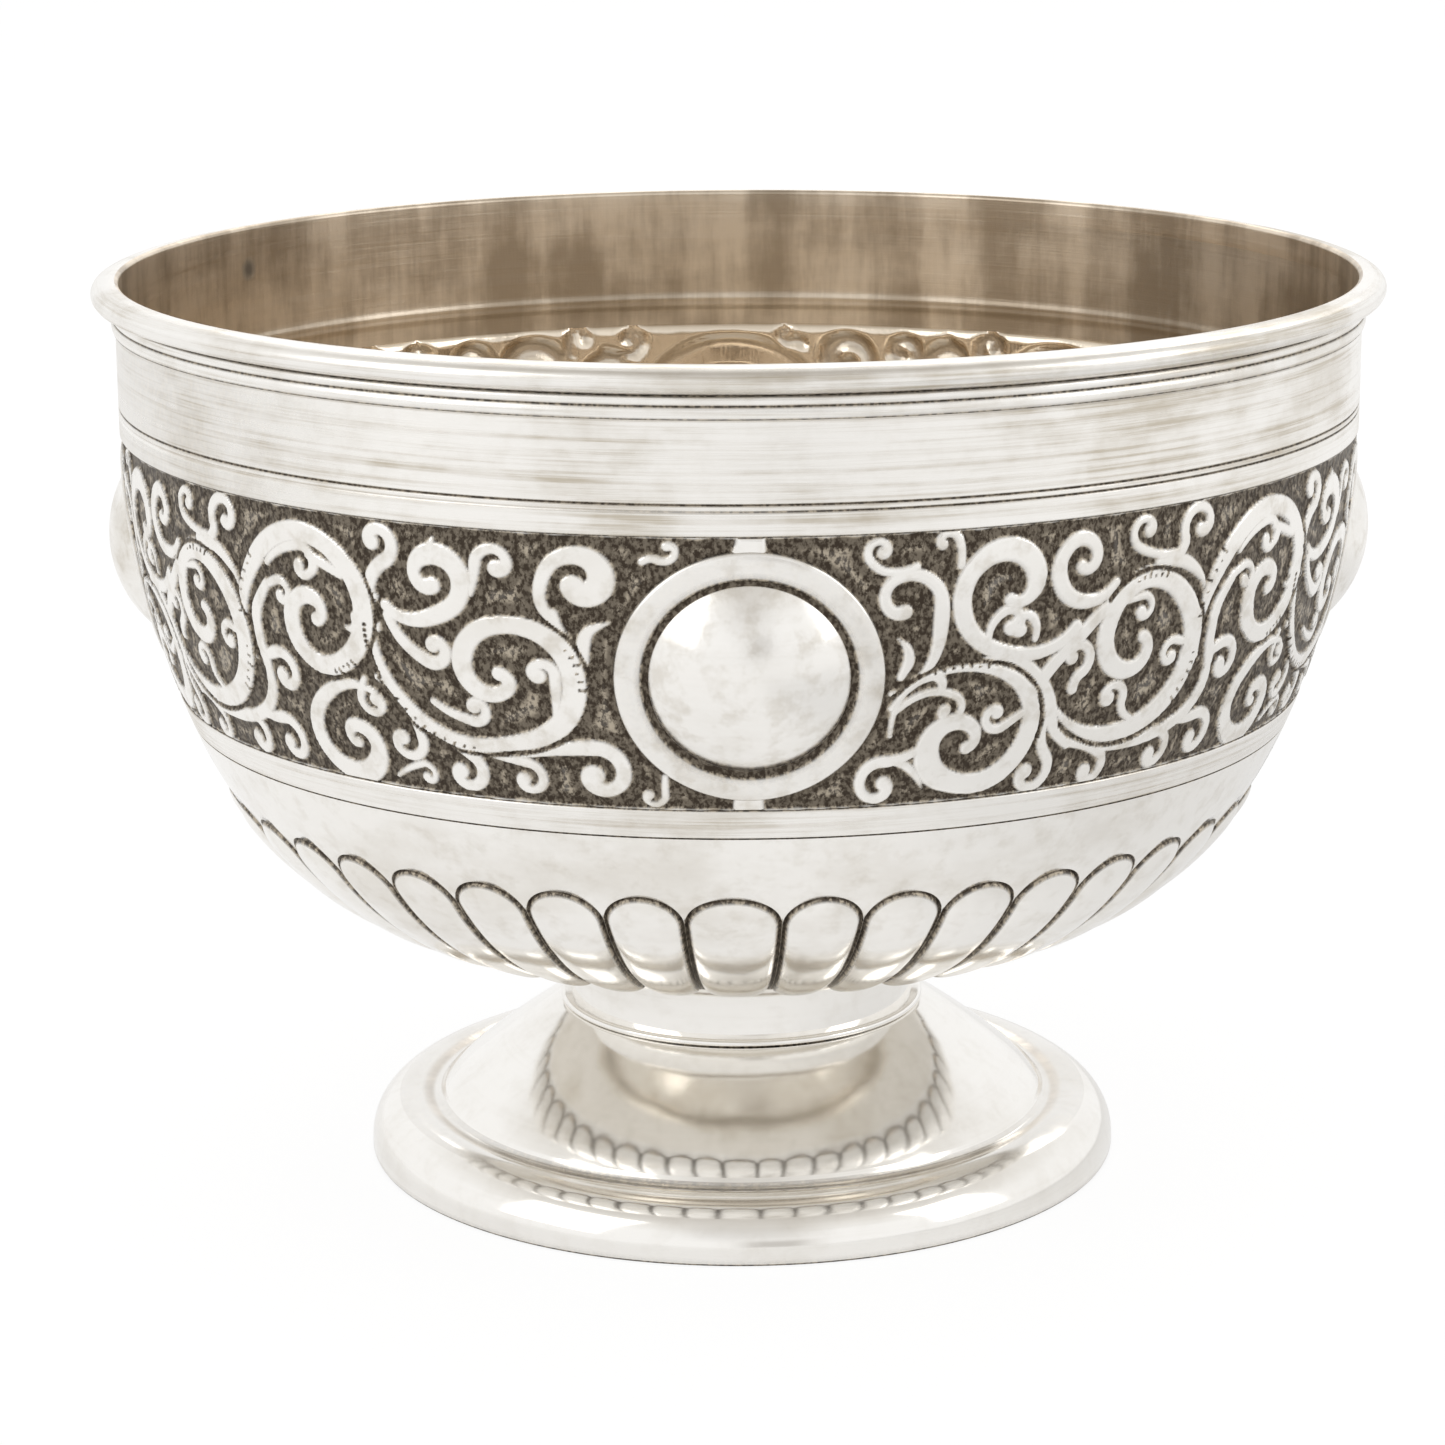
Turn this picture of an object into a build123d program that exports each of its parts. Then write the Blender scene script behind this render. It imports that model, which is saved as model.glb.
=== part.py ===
from build123d import *
import math
import os

# A footed silver punch bowl. Millimetres and degrees. +Z is up, the origin is the
# centre of the foot's underside, and the first boss faces -Y.

# ---------------------------------------------------------------- driving dimensions
# Foot wire: the heavy ring the bowl stands on
FOOT_RADIUS = 76.6
FOOT_WIRE_HEIGHT = 2.2
FOOT_WIRE_WIDTH = 3.6
FOOT_WIRE_ROUND = 0.9

# Foot: one spun sheet, an ovolo edge, a quirk, then a low dome up to a flat shelf
FOOT_SHEET = 1.1
OVOLO_RADIUS = 9.4
OVOLO_TURN = 115.0
QUIRK_RADIUS = 0.9
QUIRK_RISE = 0.1
DOME_EDGE_RADIUS = 1.4
DOME_EDGE_TURN = 44.75
DOME_RADIUS = 103.0
DOME_TURN = 16.7
SHELF_RADIUS = 2.0

# Neck: a turned spool whose skirt drops through the foot, with a bead wire round it
SKIRT_RADIUS = 35.0
SPOOL_WALL = 1.4
SKIRT_DROP = 0.7
BEAD_HEIGHT = 1.6
BEAD_WIDTH = 2.2
WAIST_HEADING = 92.0
WAIST_RADIUS = 40.0
WAIST_TURN = 12.0
FLARE_RADIUS = 9.5
FLARE_TURN = 70.0
SPOOL_LIP = 1.3
SPOOL_TOP_LAND = 3.0

# Bowl: one raised sheet, a straight collar over three arcs and a flat bottom
SHEET = 0.9
BODY_RADIUS = 122.6
COLLAR_HEIGHT = 21.6
WALL_ARC_RADIUS = 158.0
WALL_ARC_TURN = 23.5
BELLY_ARC_RADIUS = 79.9
BELLY_ARC_TURN = 13.3
BASE_ARC_RADIUS = 64.5

# Lobes round the bottom of the bowl
LOBE_COUNT = 42
LOBE_RISE = 1.4
LOBE_ROUND = 26.0             # radius across a lobe
LOBE_TOP_ANGLE = 37.2
LOBE_BOTTOM_ANGLE = 76.0
LOBE_STRIP = 1.3
LOBE_BED = 0.8                # how deep the bar is let into the bowl
LOBE_SPARE = 12.0             # how far the bar runs past its cut ends

# Bosses in the frieze
BOSS_COUNT = 4
BOSS_DROP = 50.9              # centre, below the sheet's top edge
BOSS_DISC_RADIUS = 17.7
BOSS_PROUD = 6.2
BOSS_RING_INNER = 18.9
BOSS_RING_OUTER = 23.7
BOSS_RING_RISE = 0.5

# Chased lines: distance of each below the sheet's top edge
CHASED_LINES = (19.1, 20.3, 25.4, 75.8, 81.9)
CHASED_WIDTH = 0.7
CHASED_DEPTH = 0.25

# Rim moulding: a rounded lip over two reeds, seated on the sheet's edge
LIP_RISE = 4.5
LIP_NOSE_RADIUS = 0.9
LIP_TOP_RADIUS = 8.0
LIP_TOP_TURN = 25.0
LIP_EDGE_RADIUS = 2.0
LIP_UNDER_RADIUS = 2.0
LIP_UNDER_TURN = 72.0
REED_WALL = 0.4
REED_RISE = 0.35
REED_UPPER = 1.9
REED_LOWER = 2.4

# Solder seams
BOWL_SEAM = 0.8
FOOT_SEAM = 0.8


# ---------------------------------------------------------------- outlines
def at(radius, height):
    """A point of the (radius, height) plane."""
    return Vector(radius, 0, height)


def right_of(heading):
    """Unit step to the right of a heading."""
    angle = math.radians(heading)
    return math.sin(angle), -math.cos(angle)


def walk(start, heading, moves):
    """Points and headings along smooth moves: (length, 0) or (arc radius, turn).

    A positive turn is clockwise. Each move adds its middle and its end.
    """
    radius, height = start
    stations = [(radius, height, heading)]
    for size, turn in moves:
        for share in (0.5, 1.0):
            now = heading - turn * share
            if turn == 0:
                step_r = math.cos(math.radians(heading)) * size * share
                step_z = math.sin(math.radians(heading)) * size * share
            else:
                side = math.copysign(size, turn)
                step_r = side * (right_of(heading)[0] - right_of(now)[0])
                step_z = side * (right_of(heading)[1] - right_of(now)[1])
            stations.append((radius + step_r, height + step_z, now))
        radius, height, heading = stations[-1]
    return stations


def beside(station, shift):
    """The point that lies shift to the right of a station."""
    radius, height, heading = station
    step_r, step_z = right_of(heading)
    return at(radius + shift * step_r, height + shift * step_z)


def edges_along(stations, moves, shift=0.0):
    """Lines and arcs through the stations, all moved sideways by shift."""
    edges = []
    for index, (_, turn) in enumerate(moves):
        first, middle, last = (beside(s, shift) for s in stations[2 * index:2 * index + 3])
        edges.append(Line(first, last) if turn == 0 else ThreePointArc(first, middle, last))
    return edges


def turned(edges):
    """The solid of revolution of a closed outline."""
    return revolve(make_face(edges), Axis.Z, 360)


def turned_sheet(stations, moves, shift_inner):
    """A sheet of even thickness between an outline and its parallel."""
    outer = edges_along(stations, moves)
    inner = edges_along(stations, moves, shift_inner)
    ends = [Line(beside(stations[0], 0), beside(stations[0], shift_inner)),
            Line(beside(stations[-1], 0), beside(stations[-1], shift_inner))]
    return turned(outer + inner + ends)


def seam_ring(corner, *others):
    """A solder seam: a ring of triangular section."""
    points = [corner, *others, corner]
    return turned([Line(a, b) for a, b in zip(points, points[1:])])


# ---------------------------------------------------------------- stacked sizes
shelf_turn = 90 - DOME_EDGE_TURN - DOME_TURN
foot_moves = [(OVOLO_RADIUS, -OVOLO_TURN), (QUIRK_RADIUS, OVOLO_TURN), (QUIRK_RISE, 0),
              (DOME_EDGE_RADIUS, -DOME_EDGE_TURN), (DOME_RADIUS, -DOME_TURN),
              (SHELF_RADIUS, -shelf_turn)]
foot_start = (FOOT_RADIUS, FOOT_WIRE_HEIGHT)
shelf_start = walk(foot_start, 90, foot_moves)[-1]
foot_moves.append((shelf_start[0] - SKIRT_RADIUS, 0))
foot_line = walk(foot_start, 90, foot_moves)
SHELF_HEIGHT = shelf_start[1]

spool_moves = [(WAIST_RADIUS, WAIST_TURN), (FLARE_RADIUS, FLARE_TURN)]
spool_line = walk((SKIRT_RADIUS, SHELF_HEIGHT + BEAD_HEIGHT), WAIST_HEADING, spool_moves)
SPOOL_TOP_RADIUS = spool_line[-1][0]
BOWL_BOTTOM = spool_line[-1][1] + SPOOL_LIP

base_arc_turn = 90 - WALL_ARC_TURN - BELLY_ARC_TURN
bowl_moves = [(COLLAR_HEIGHT, 0), (WALL_ARC_RADIUS, WALL_ARC_TURN),
              (BELLY_ARC_RADIUS, BELLY_ARC_TURN), (BASE_ARC_RADIUS, base_arc_turn)]
bottom_end = walk((BODY_RADIUS, 0), -90, bowl_moves)[-1]
SHEET_EDGE = BOWL_BOTTOM - bottom_end[1]
flat_radius = bottom_end[0]
bowl_moves.append((flat_radius, 0))
bowl_line = walk((BODY_RADIUS, SHEET_EDGE), -90, bowl_moves)
base_centre = (flat_radius, BOWL_BOTTOM + BASE_ARC_RADIUS)
shoulder = SHEET_EDGE - COLLAR_HEIGHT


def wall_angle(drop):
    """How far the wall leans in, at a distance below the sheet's edge."""
    return math.degrees(math.asin(max(0.0, drop - COLLAR_HEIGHT) / WALL_ARC_RADIUS))


def wall_radius(drop):
    """The bowl's outer radius at a distance below the sheet's edge."""
    return BODY_RADIUS - WALL_ARC_RADIUS * (1 - math.cos(math.radians(wall_angle(drop))))


# ---------------------------------------------------------------- foot and neck
def foot_rim_wire():
    outer, inner = FOOT_RADIUS, FOOT_RADIUS - FOOT_WIRE_WIDTH
    centre = (outer - FOOT_WIRE_ROUND, FOOT_WIRE_ROUND)
    diagonal = FOOT_WIRE_ROUND * math.sqrt(0.5)
    return turned([
        Line(at(inner, 0), at(centre[0], 0)),
        ThreePointArc(at(centre[0], 0), at(centre[0] + diagonal, centre[1] - diagonal),
                      at(outer, centre[1])),
        Line(at(outer, centre[1]), at(outer, FOOT_WIRE_HEIGHT)),
        Line(at(outer, FOOT_WIRE_HEIGHT), at(inner, FOOT_WIRE_HEIGHT)),
        Line(at(inner, FOOT_WIRE_HEIGHT), at(inner, 0)),
    ])


def foot_dome():
    return turned_sheet(foot_line, foot_moves, -FOOT_SHEET)


def foot_wire_solder():
    """Seam in the corner between the wire's top and the inside of the foot."""
    bend = OVOLO_RADIUS - FOOT_SHEET
    centre = FOOT_RADIUS - OVOLO_RADIUS

    def on_foot(rise):
        return at(centre + math.sqrt(bend ** 2 - rise ** 2), FOOT_WIRE_HEIGHT + rise)

    foot, top = on_foot(0), on_foot(FOOT_SEAM)
    toe = at(centre + bend - FOOT_SEAM, FOOT_WIRE_HEIGHT)
    return turned([ThreePointArc(foot, on_foot(FOOT_SEAM / 2), top), Line(top, toe),
                   Line(toe, foot)])


def neck_spool():
    skirt_end = SHELF_HEIGHT - FOOT_SHEET - SKIRT_DROP
    skirt_inner = SKIRT_RADIUS - SPOOL_WALL
    top_inner = SPOOL_TOP_RADIUS - SPOOL_TOP_LAND
    slope = top_inner - skirt_inner
    corners = [beside(spool_line[-1], 0), at(SPOOL_TOP_RADIUS, BOWL_BOTTOM),
               at(top_inner, BOWL_BOTTOM), at(skirt_inner, BOWL_BOTTOM - slope),
               at(skirt_inner, skirt_end), at(SKIRT_RADIUS, skirt_end),
               beside(spool_line[0], 0)]
    sides = [Line(a, b) for a, b in zip(corners, corners[1:])]
    return turned(edges_along(spool_line, spool_moves) + sides)


def neck_bead_ring():
    bottom, top = SHELF_HEIGHT, SHELF_HEIGHT + BEAD_HEIGHT
    flat = SKIRT_RADIUS + BEAD_WIDTH - BEAD_HEIGHT / 2
    return turned([
        Line(at(SKIRT_RADIUS, bottom), at(flat, bottom)),
        ThreePointArc(at(flat, bottom), at(SKIRT_RADIUS + BEAD_WIDTH, (bottom + top) / 2),
                      at(flat, top)),
        Line(at(flat, top), at(SKIRT_RADIUS, top)),
        Line(at(SKIRT_RADIUS, top), at(SKIRT_RADIUS, bottom)),
    ])


def neck_solder():
    """Seam inside the foot, in the corner between the skirt and the sheet."""
    under = SHELF_HEIGHT - FOOT_SHEET
    return seam_ring(at(SKIRT_RADIUS, under), at(SKIRT_RADIUS + SKIRT_DROP, under),
                     at(SKIRT_RADIUS, under - SKIRT_DROP))


def bowl_solder():
    """Seam inside the neck, between the spool's sloping land and the bowl."""
    land = SPOOL_TOP_RADIUS - SPOOL_TOP_LAND
    return seam_ring(at(land, BOWL_BOTTOM), at(land - 2 * BOWL_SEAM, BOWL_BOTTOM),
                     at(land - BOWL_SEAM, BOWL_BOTTOM - BOWL_SEAM))


# ---------------------------------------------------------------- bowl
def filled_bowl(depth):
    """Everything inside the bowl's surface, or inside its parallel at a depth."""
    sides = edges_along(bowl_line, bowl_moves, depth)
    bottom, top = BOWL_BOTTOM + depth, SHEET_EDGE
    axis = Line(at(0, bottom), at(0, top))
    lid = Line(at(0, top), at(BODY_RADIUS - depth, top))
    return turned(sides + [axis, lid])


def lobe(depth):
    """One lobe: a round bar bent along the base arc, cut to a tapered, arched outline."""
    bar = LOBE_ROUND - depth
    reach = BASE_ARC_RADIUS + LOBE_RISE - LOBE_ROUND
    bed = BASE_ARC_RADIUS - depth - LOBE_BED
    half = math.sqrt(bar ** 2 - (bed - reach) ** 2)
    centre = at(*base_centre)
    across = Vector(0, 1, 0)
    out = leaning(LOBE_TOP_ANGLE - LOBE_SPARE)
    left, right = centre + out * bed - across * half, centre + out * bed + across * half
    crown = ThreePointArc(left, centre + out * (reach + bar), right)
    section = make_face([crown, Line(right, left)])
    turn = LOBE_BOTTOM_ANGLE - LOBE_TOP_ANGLE + 2 * LOBE_SPARE
    return revolve(section, Axis(centre, across), turn) & lobe_outline(depth)


def leaning(angle):
    """Unit step outwards and down, at an angle below the horizontal."""
    lean = math.radians(angle)
    return Vector(math.cos(lean), 0, -math.sin(lean))


def lobe_outline(depth):
    """Prism of a lobe's outline: two round ends joined by tangents."""
    middle = (LOBE_TOP_ANGLE + LOBE_BOTTOM_ANGLE) / 2
    top, wide = lobe_end(LOBE_TOP_ANGLE, middle, depth)
    low, narrow = lobe_end(LOBE_BOTTOM_ANGLE, middle, depth)
    taper = math.asin((wide - narrow) / (top - low))
    side, drop = math.cos(taper), math.sin(taper)
    top_right, top_left = ((s * wide * side, top - wide * drop) for s in (1, -1))
    low_right, low_left = ((s * narrow * side, low - narrow * drop) for s in (1, -1))
    outline = make_face([ThreePointArc(top_right, (0, top + wide), top_left),
                         Line(top_left, low_left),
                         ThreePointArc(low_left, (0, low - narrow), low_right),
                         Line(low_right, top_right)])
    plane = Plane(origin=at(*base_centre), x_dir=(0, 1, 0), z_dir=leaning(middle))
    return plane * extrude(outline, BASE_ARC_RADIUS + LOBE_ROUND)


def lobe_end(angle, middle, depth):
    """Place and half width of a lobe at an angle, seen square to the lobe's middle."""
    place = BASE_ARC_RADIUS * math.sin(math.radians(middle - angle))
    radius = flat_radius + BASE_ARC_RADIUS * math.cos(math.radians(angle))
    return place, radius * math.tan(math.radians(180 / LOBE_COUNT)) - LOBE_STRIP / 2 - depth


def boss_frame():
    """Plane on the wall's surface, under the boss that faces +X, looking outwards."""
    lean = math.radians(wall_angle(BOSS_DROP))
    return Plane(origin=at(wall_radius(BOSS_DROP), SHEET_EDGE - BOSS_DROP), x_dir=(0, 1, 0),
                 z_dir=(math.cos(lean), 0, -math.sin(lean)))


def boss_sphere(depth):
    """The ball whose cap is the boss: its edge meets the wall at the disc's radius."""
    wall_fall = BOSS_DISC_RADIUS ** 2 / (2 * BODY_RADIUS)
    cap = BOSS_PROUD + wall_fall
    ball = (BOSS_DISC_RADIUS ** 2 + cap ** 2) / (2 * cap)
    return boss_frame() * Pos(0, 0, BOSS_PROUD - ball) * Sphere(ball - depth)


def boss_ring():
    """The flat ring round the boss, a little higher than the wall and parallel to it."""
    depth = 2 * BOSS_RING_OUTER
    tube = Cylinder(BOSS_RING_OUTER, depth) - Cylinder(BOSS_RING_INNER, depth)
    moves = [(COLLAR_HEIGHT, 0), (WALL_ARC_RADIUS + BOSS_RING_RISE, WALL_ARC_TURN)]
    raised = walk((BODY_RADIUS + BOSS_RING_RISE, SHEET_EDGE), -90, moves)
    skin = turned_sheet(raised, moves, BOSS_RING_RISE + SHEET / 2)
    return skin & (boss_frame() * tube)


def round_the_axis(shape, count, first_angle):
    return [Rot(0, 0, first_angle + 360 * index / count) * shape for index in range(count)]


def chased_line(drop):
    """A round-bottomed groove sunk in the wall."""
    half = CHASED_WIDTH / 2
    ball = (half ** 2 + CHASED_DEPTH ** 2) / (2 * CHASED_DEPTH)
    out = ball - CHASED_DEPTH
    lean = math.radians(wall_angle(drop))
    centre = at(wall_radius(drop) + out * math.cos(lean),
                SHEET_EDGE - drop - out * math.sin(lean))
    section = Plane(origin=centre, x_dir=(1, 0, 0), z_dir=(0, -1, 0)) * Circle(ball)
    return revolve(section, Axis.Z, 360)


def bowl_body():
    outside = filled_bowl(0)
    inside = filled_bowl(SHEET)
    outside = outside.fuse(*round_the_axis(lobe(0), LOBE_COUNT, -90),
                           *round_the_axis(boss_sphere(0), BOSS_COUNT, -90),
                           *round_the_axis(boss_ring(), BOSS_COUNT, -90))
    inside = inside.fuse(*round_the_axis(lobe(SHEET), LOBE_COUNT, -90),
                         *round_the_axis(boss_sphere(SHEET), BOSS_COUNT, -90))
    grooves = [chased_line(drop) for drop in CHASED_LINES]
    return outside.cut(inside, *grooves)


# ---------------------------------------------------------------- rim
def rim_moulding():
    """Lip and reeds: seated on the sheet's edge and lapped down over its outside."""
    inner = BODY_RADIUS - SHEET
    reed_base = BODY_RADIUS + REED_WALL
    lip_moves = [(LIP_NOSE_RADIUS, 90), (LIP_TOP_RADIUS, LIP_TOP_TURN),
                 (LIP_EDGE_RADIUS, 90 - LIP_TOP_TURN), (LIP_UNDER_RADIUS, LIP_UNDER_TURN)]
    lip_start = (inner, SHEET_EDGE + LIP_RISE)
    under = walk(lip_start, 90, lip_moves)[-1]
    slant = (under[0] - reed_base) / math.sin(math.radians(LIP_UNDER_TURN))
    lip_moves.append((slant, 0))
    lip_line = walk(lip_start, 90, lip_moves)
    throat = lip_line[-1][1]
    middle = throat - REED_UPPER
    lower = middle - REED_LOWER

    def reed(top, bottom):
        crown = at(reed_base + REED_RISE, (top + bottom) / 2)
        return ThreePointArc(at(reed_base, top), crown, at(reed_base, bottom))

    return turned(edges_along(lip_line, lip_moves) + [
        reed(throat, middle),
        reed(middle, lower),
        Line(at(reed_base, lower), at(BODY_RADIUS, lower)),
        Line(at(BODY_RADIUS, lower), at(BODY_RADIUS, SHEET_EDGE)),
        Line(at(BODY_RADIUS, SHEET_EDGE), at(inner, SHEET_EDGE)),
        Line(at(inner, SHEET_EDGE), at(*lip_start)),
    ]), lower


def rim_solder(lower):
    """Seam under the lower reed."""
    return seam_ring(at(BODY_RADIUS, lower), at(BODY_RADIUS + REED_WALL, lower),
                     at(BODY_RADIUS, lower - REED_WALL))


# ---------------------------------------------------------------- write the pieces
moulding, moulding_foot = rim_moulding()
pieces = {
    "bowl_body": bowl_body(),
    "rim_moulding": moulding,
    "rim_solder": rim_solder(moulding_foot),
    "neck_spool": neck_spool(),
    "neck_bead_ring": neck_bead_ring(),
    "neck_solder": neck_solder(),
    "bowl_solder": bowl_solder(),
    "foot_dome": foot_dome(),
    "foot_rim_wire": foot_rim_wire(),
    "foot_wire_solder": foot_wire_solder(),
}
os.makedirs("parts", exist_ok=True)
for name, piece in pieces.items():
    export_step(piece, f"parts/{name}.step")
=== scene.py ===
# %% [markdown]
# # A footed silver punch bowl
#
# The real bowl is one raised sheet of silver on a turned neck and a spun foot. Its
# wall carries a chased frieze with four round bosses, and forty two lobes run round
# the bottom. The CAD model gives the true size of every part, so each piece here is
# laid where that model has it, within about half a millimetre, and adds the hand
# work and the finish. Two things differ more: the lobes end a little higher, and
# the ones on the left lean round the bowl by up to two and a half millimetres.

# %% Load the measured model
import math
from math import cos, radians, sin

import bmesh
import bpy
import numpy as np
from mathutils import Matrix, Vector


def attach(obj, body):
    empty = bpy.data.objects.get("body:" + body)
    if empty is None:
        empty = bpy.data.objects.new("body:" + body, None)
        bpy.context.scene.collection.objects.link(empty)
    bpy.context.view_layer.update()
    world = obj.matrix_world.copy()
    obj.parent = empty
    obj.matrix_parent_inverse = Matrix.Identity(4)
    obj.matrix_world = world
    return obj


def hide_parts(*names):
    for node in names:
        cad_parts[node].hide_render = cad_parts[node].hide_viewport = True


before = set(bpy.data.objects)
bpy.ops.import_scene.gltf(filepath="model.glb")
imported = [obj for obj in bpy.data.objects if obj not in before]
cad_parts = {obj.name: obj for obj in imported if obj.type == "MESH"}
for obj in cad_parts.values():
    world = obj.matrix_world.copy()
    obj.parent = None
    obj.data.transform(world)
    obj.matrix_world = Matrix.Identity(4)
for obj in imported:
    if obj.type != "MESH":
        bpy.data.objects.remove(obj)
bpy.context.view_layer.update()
MM = 0.001

# %% [markdown]
# ## Stage and light
#
# Silver shows what stands round it, so the room matters as much as the metal. A
# pale floor and white walls make the outside bright, and a duller ceiling shades the
# parts that face straight up. Two soft dark figures before the bowl show in its
# front, and near the bowl a painted shade makes the floor a little greyer on the
# right, which only the metal sees. Otherwise the camera and the metal see the same
# colours, while plain white light falls on everything.


# %% A small wrapper for shader maths
class Wire:
    """One socket of a node tree. Sums written with it become Math nodes."""

    def __init__(self, sheet, socket):
        self.sheet, self.socket = sheet, socket

    def math(self, operation, *others, first=None):
        values = [first if first is not None else self, *others]
        return self.sheet.node("ShaderNodeMath", {"operation": operation},
                               dict(enumerate(values)))

    def __add__(self, other):
        return self.math("ADD", other)

    def __sub__(self, other):
        return self.math("SUBTRACT", other)

    def __rsub__(self, other):
        return self.math("SUBTRACT", self, first=other)

    def __mul__(self, other):
        return self.math("MULTIPLY", other)

    __radd__, __rmul__ = __add__, __mul__

    def between(self, low, high):
        """0 below low, 1 above high, smooth in between."""
        return self.sheet.node("ShaderNodeMapRange",
                               {"interpolation_type": "SMOOTHSTEP", "clamp": True},
                               {"Value": self, "From Min": low, "From Max": high})


class Sheet:
    """A node tree. One method adds any node, the others are short forms of it."""

    def __init__(self, owner):
        owner.use_nodes = True
        self.tree = owner.node_tree
        self.tree.nodes.clear()

    def node(self, kind, settings=None, values=None, out=0):
        made = self.tree.nodes.new(kind)
        for name, value in (settings or {}).items():
            if name == "stops":
                ramp = made.color_ramp
                while len(ramp.elements) < len(value):
                    ramp.elements.new(1.0)
                for stop, (place, colour) in zip(ramp.elements, value):
                    stop.position, stop.color = place, (*colour, 1.0)
            else:
                setattr(made, name, value)
        for name, value in (values or {}).items():
            if isinstance(value, Wire):
                self.tree.links.new(value.socket, made.inputs[name])
            else:
                made.inputs[name].default_value = value
        return Wire(self, made.outputs[out]) if len(made.outputs) else None

    def axis(self, vector, which):
        """One of a vector's three numbers, which is 0, 1 or 2."""
        return self.node("ShaderNodeSeparateXYZ", values={0: vector}, out=which)

    def vector(self, operation, *vectors, out="Value"):
        return self.node("ShaderNodeVectorMath", {"operation": operation},
                         dict(enumerate(vectors)), out=out)

    def blend(self, share, first, second):
        """The first colour where share is 0, the second where it is 1."""
        return self.node("ShaderNodeMix", {"data_type": "RGBA"},
                         {"Factor": share, "A": first, "B": second}, out="Result")

    def rays(self):
        """Three numbers: whether a camera, glossy or transmission ray is looking."""
        return [self.node("ShaderNodeLightPath", out=name)
                for name in ("Is Camera Ray", "Is Glossy Ray", "Is Transmission Ray")]


def place_object(name, data):
    made = bpy.data.objects.new(name, data)
    bpy.context.scene.collection.objects.link(made)
    return made


def mesh_object(name, bm, material):
    """Turns a bmesh into an object in the scene."""
    mesh = bpy.data.meshes.new(name)
    bm.to_mesh(mesh)
    bm.free()
    mesh.materials.append(material)
    return place_object(name, mesh)


print("shader maths ready")

# %% World: white round the horizon, duller overhead
CEILING = [(0.0, (1.0, 1.0, 1.0)), (0.74, (1.0, 1.0, 1.0)), (0.86, (0.86, 0.845, 0.82)),
           (0.95, (0.66, 0.635, 0.60)), (1.0, (0.52, 0.49, 0.45))]
FIGURE_TINT, LIGHT_TINT = (0.30, 0.27, 0.235, 1.0), (1.0, 0.99, 0.975, 1.0)


def figure(directions, middle, sides, feet, head):
    """How much of a soft figure stands before the bowl, faded out at all its edges."""
    side, depth, rise = directions
    return ((1.0 - (side - middle).math("ABSOLUTE").between(*sides))
            * (0.0 - depth).between(0.1, 0.5) * rise.between(*feet)
            * (1.0 - rise.between(*head)))


def lay_world():
    world = bpy.data.worlds.new("studio")
    bpy.context.scene.world = world
    sheet = Sheet(world)
    sky = sheet.node("ShaderNodeTexCoord", out=0)
    directions = [sheet.axis(sky, which) for which in range(3)]
    # The low figure is darker, and shows in the foot's rolled edge.
    tall = figure(directions, 0.02, (0.10, 0.46), (0.12, 0.50), (0.66, 0.92))
    low = figure(directions, 0.17, (0.05, 0.27), (-0.08, 0.02), (0.14, 0.32))
    bare = sheet.node("ShaderNodeValToRGB", {"stops": CEILING}, {0: directions[2] * 0.5 + 0.5})
    room = sheet.blend(tall * 0.27 + low * 0.50, bare, FIGURE_TINT)
    to_eye, glossy, clear = sheet.rays()
    seen = (to_eye + glossy + clear).math("MINIMUM", 1.0)
    shown = sheet.node("ShaderNodeBackground", values={"Color": room, "Strength": 1.0})
    light = sheet.node("ShaderNodeBackground", values={"Color": LIGHT_TINT, "Strength": 0.82})
    both = sheet.node("ShaderNodeMixShader", values={0: seen, 1: light, 2: shown})
    sheet.node("ShaderNodeOutputWorld", values={"Surface": both})
    return world


print("world:", lay_world().name)


# %% Floor: pale, and bright to the eye, but it keeps the shadow
def lay_floor():
    bm = bmesh.new()
    bmesh.ops.create_grid(bm, x_segments=1, y_segments=1, size=20.0)
    paint = bpy.data.materials.new("floor_paint")
    floor = mesh_object("floor", bm, paint)
    sheet = Sheet(paint)
    to_eye, glossy, clear = sheet.rays()
    spot = sheet.node("ShaderNodeTexCoord", out="Object")
    # Painted shade: near the bowl the floor is greyer on the right, for the metal only
    right = sheet.axis(spot, 0).between(0.02, 0.16)
    near = 1.0 - sheet.vector("LENGTH", spot).between(0.30, 0.62)
    painted_floor_shade = glossy * right * near * 0.22
    share = to_eye * 0.84 + (glossy + clear).math("MINIMUM", 1.0) * 0.60
    card = sheet.node("ShaderNodeBsdfDiffuse", values={"Color": (0.86, 0.86, 0.86, 1.0)})
    glow = sheet.node("ShaderNodeEmission", values={"Color": 1.0 - painted_floor_shade, "Strength": 1.06})
    both = sheet.node("ShaderNodeMixShader", values={0: share, 1: card, 2: glow})
    sheet.node("ShaderNodeOutputMaterial", values={"Surface": both})
    return floor


print("floor:", lay_floor().name)


# %% Soft lamps at a plain level
def lamp(name, place, aim, size, watts, tint=(1.0, 1.0, 1.0)):
    light = bpy.data.lights.new(name, "AREA")
    light.shape = "RECTANGLE"
    light.size, light.size_y = size
    light.energy, light.color = watts, tint
    turn = (Vector(aim) - Vector(place)).to_track_quat("-Z", "Y")
    holder = place_object(name, light)
    holder.matrix_world = Matrix.Translation(place) @ turn.to_matrix().to_4x4()


lamp("window_left", (-1.5, -0.9, 1.0), (0, 0, 0.1), (1.2, 1.4), 5.0)
lamp("window_right", (1.6, -0.5, 0.9), (0, 0, 0.1), (0.8, 1.2), 3.5)
lamp("window_back", (0.2, 1.5, 1.3), (0, 0, 0.15), (1.6, 0.7), 4.0, (1.0, 0.97, 0.93))
print("three lamps")

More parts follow.
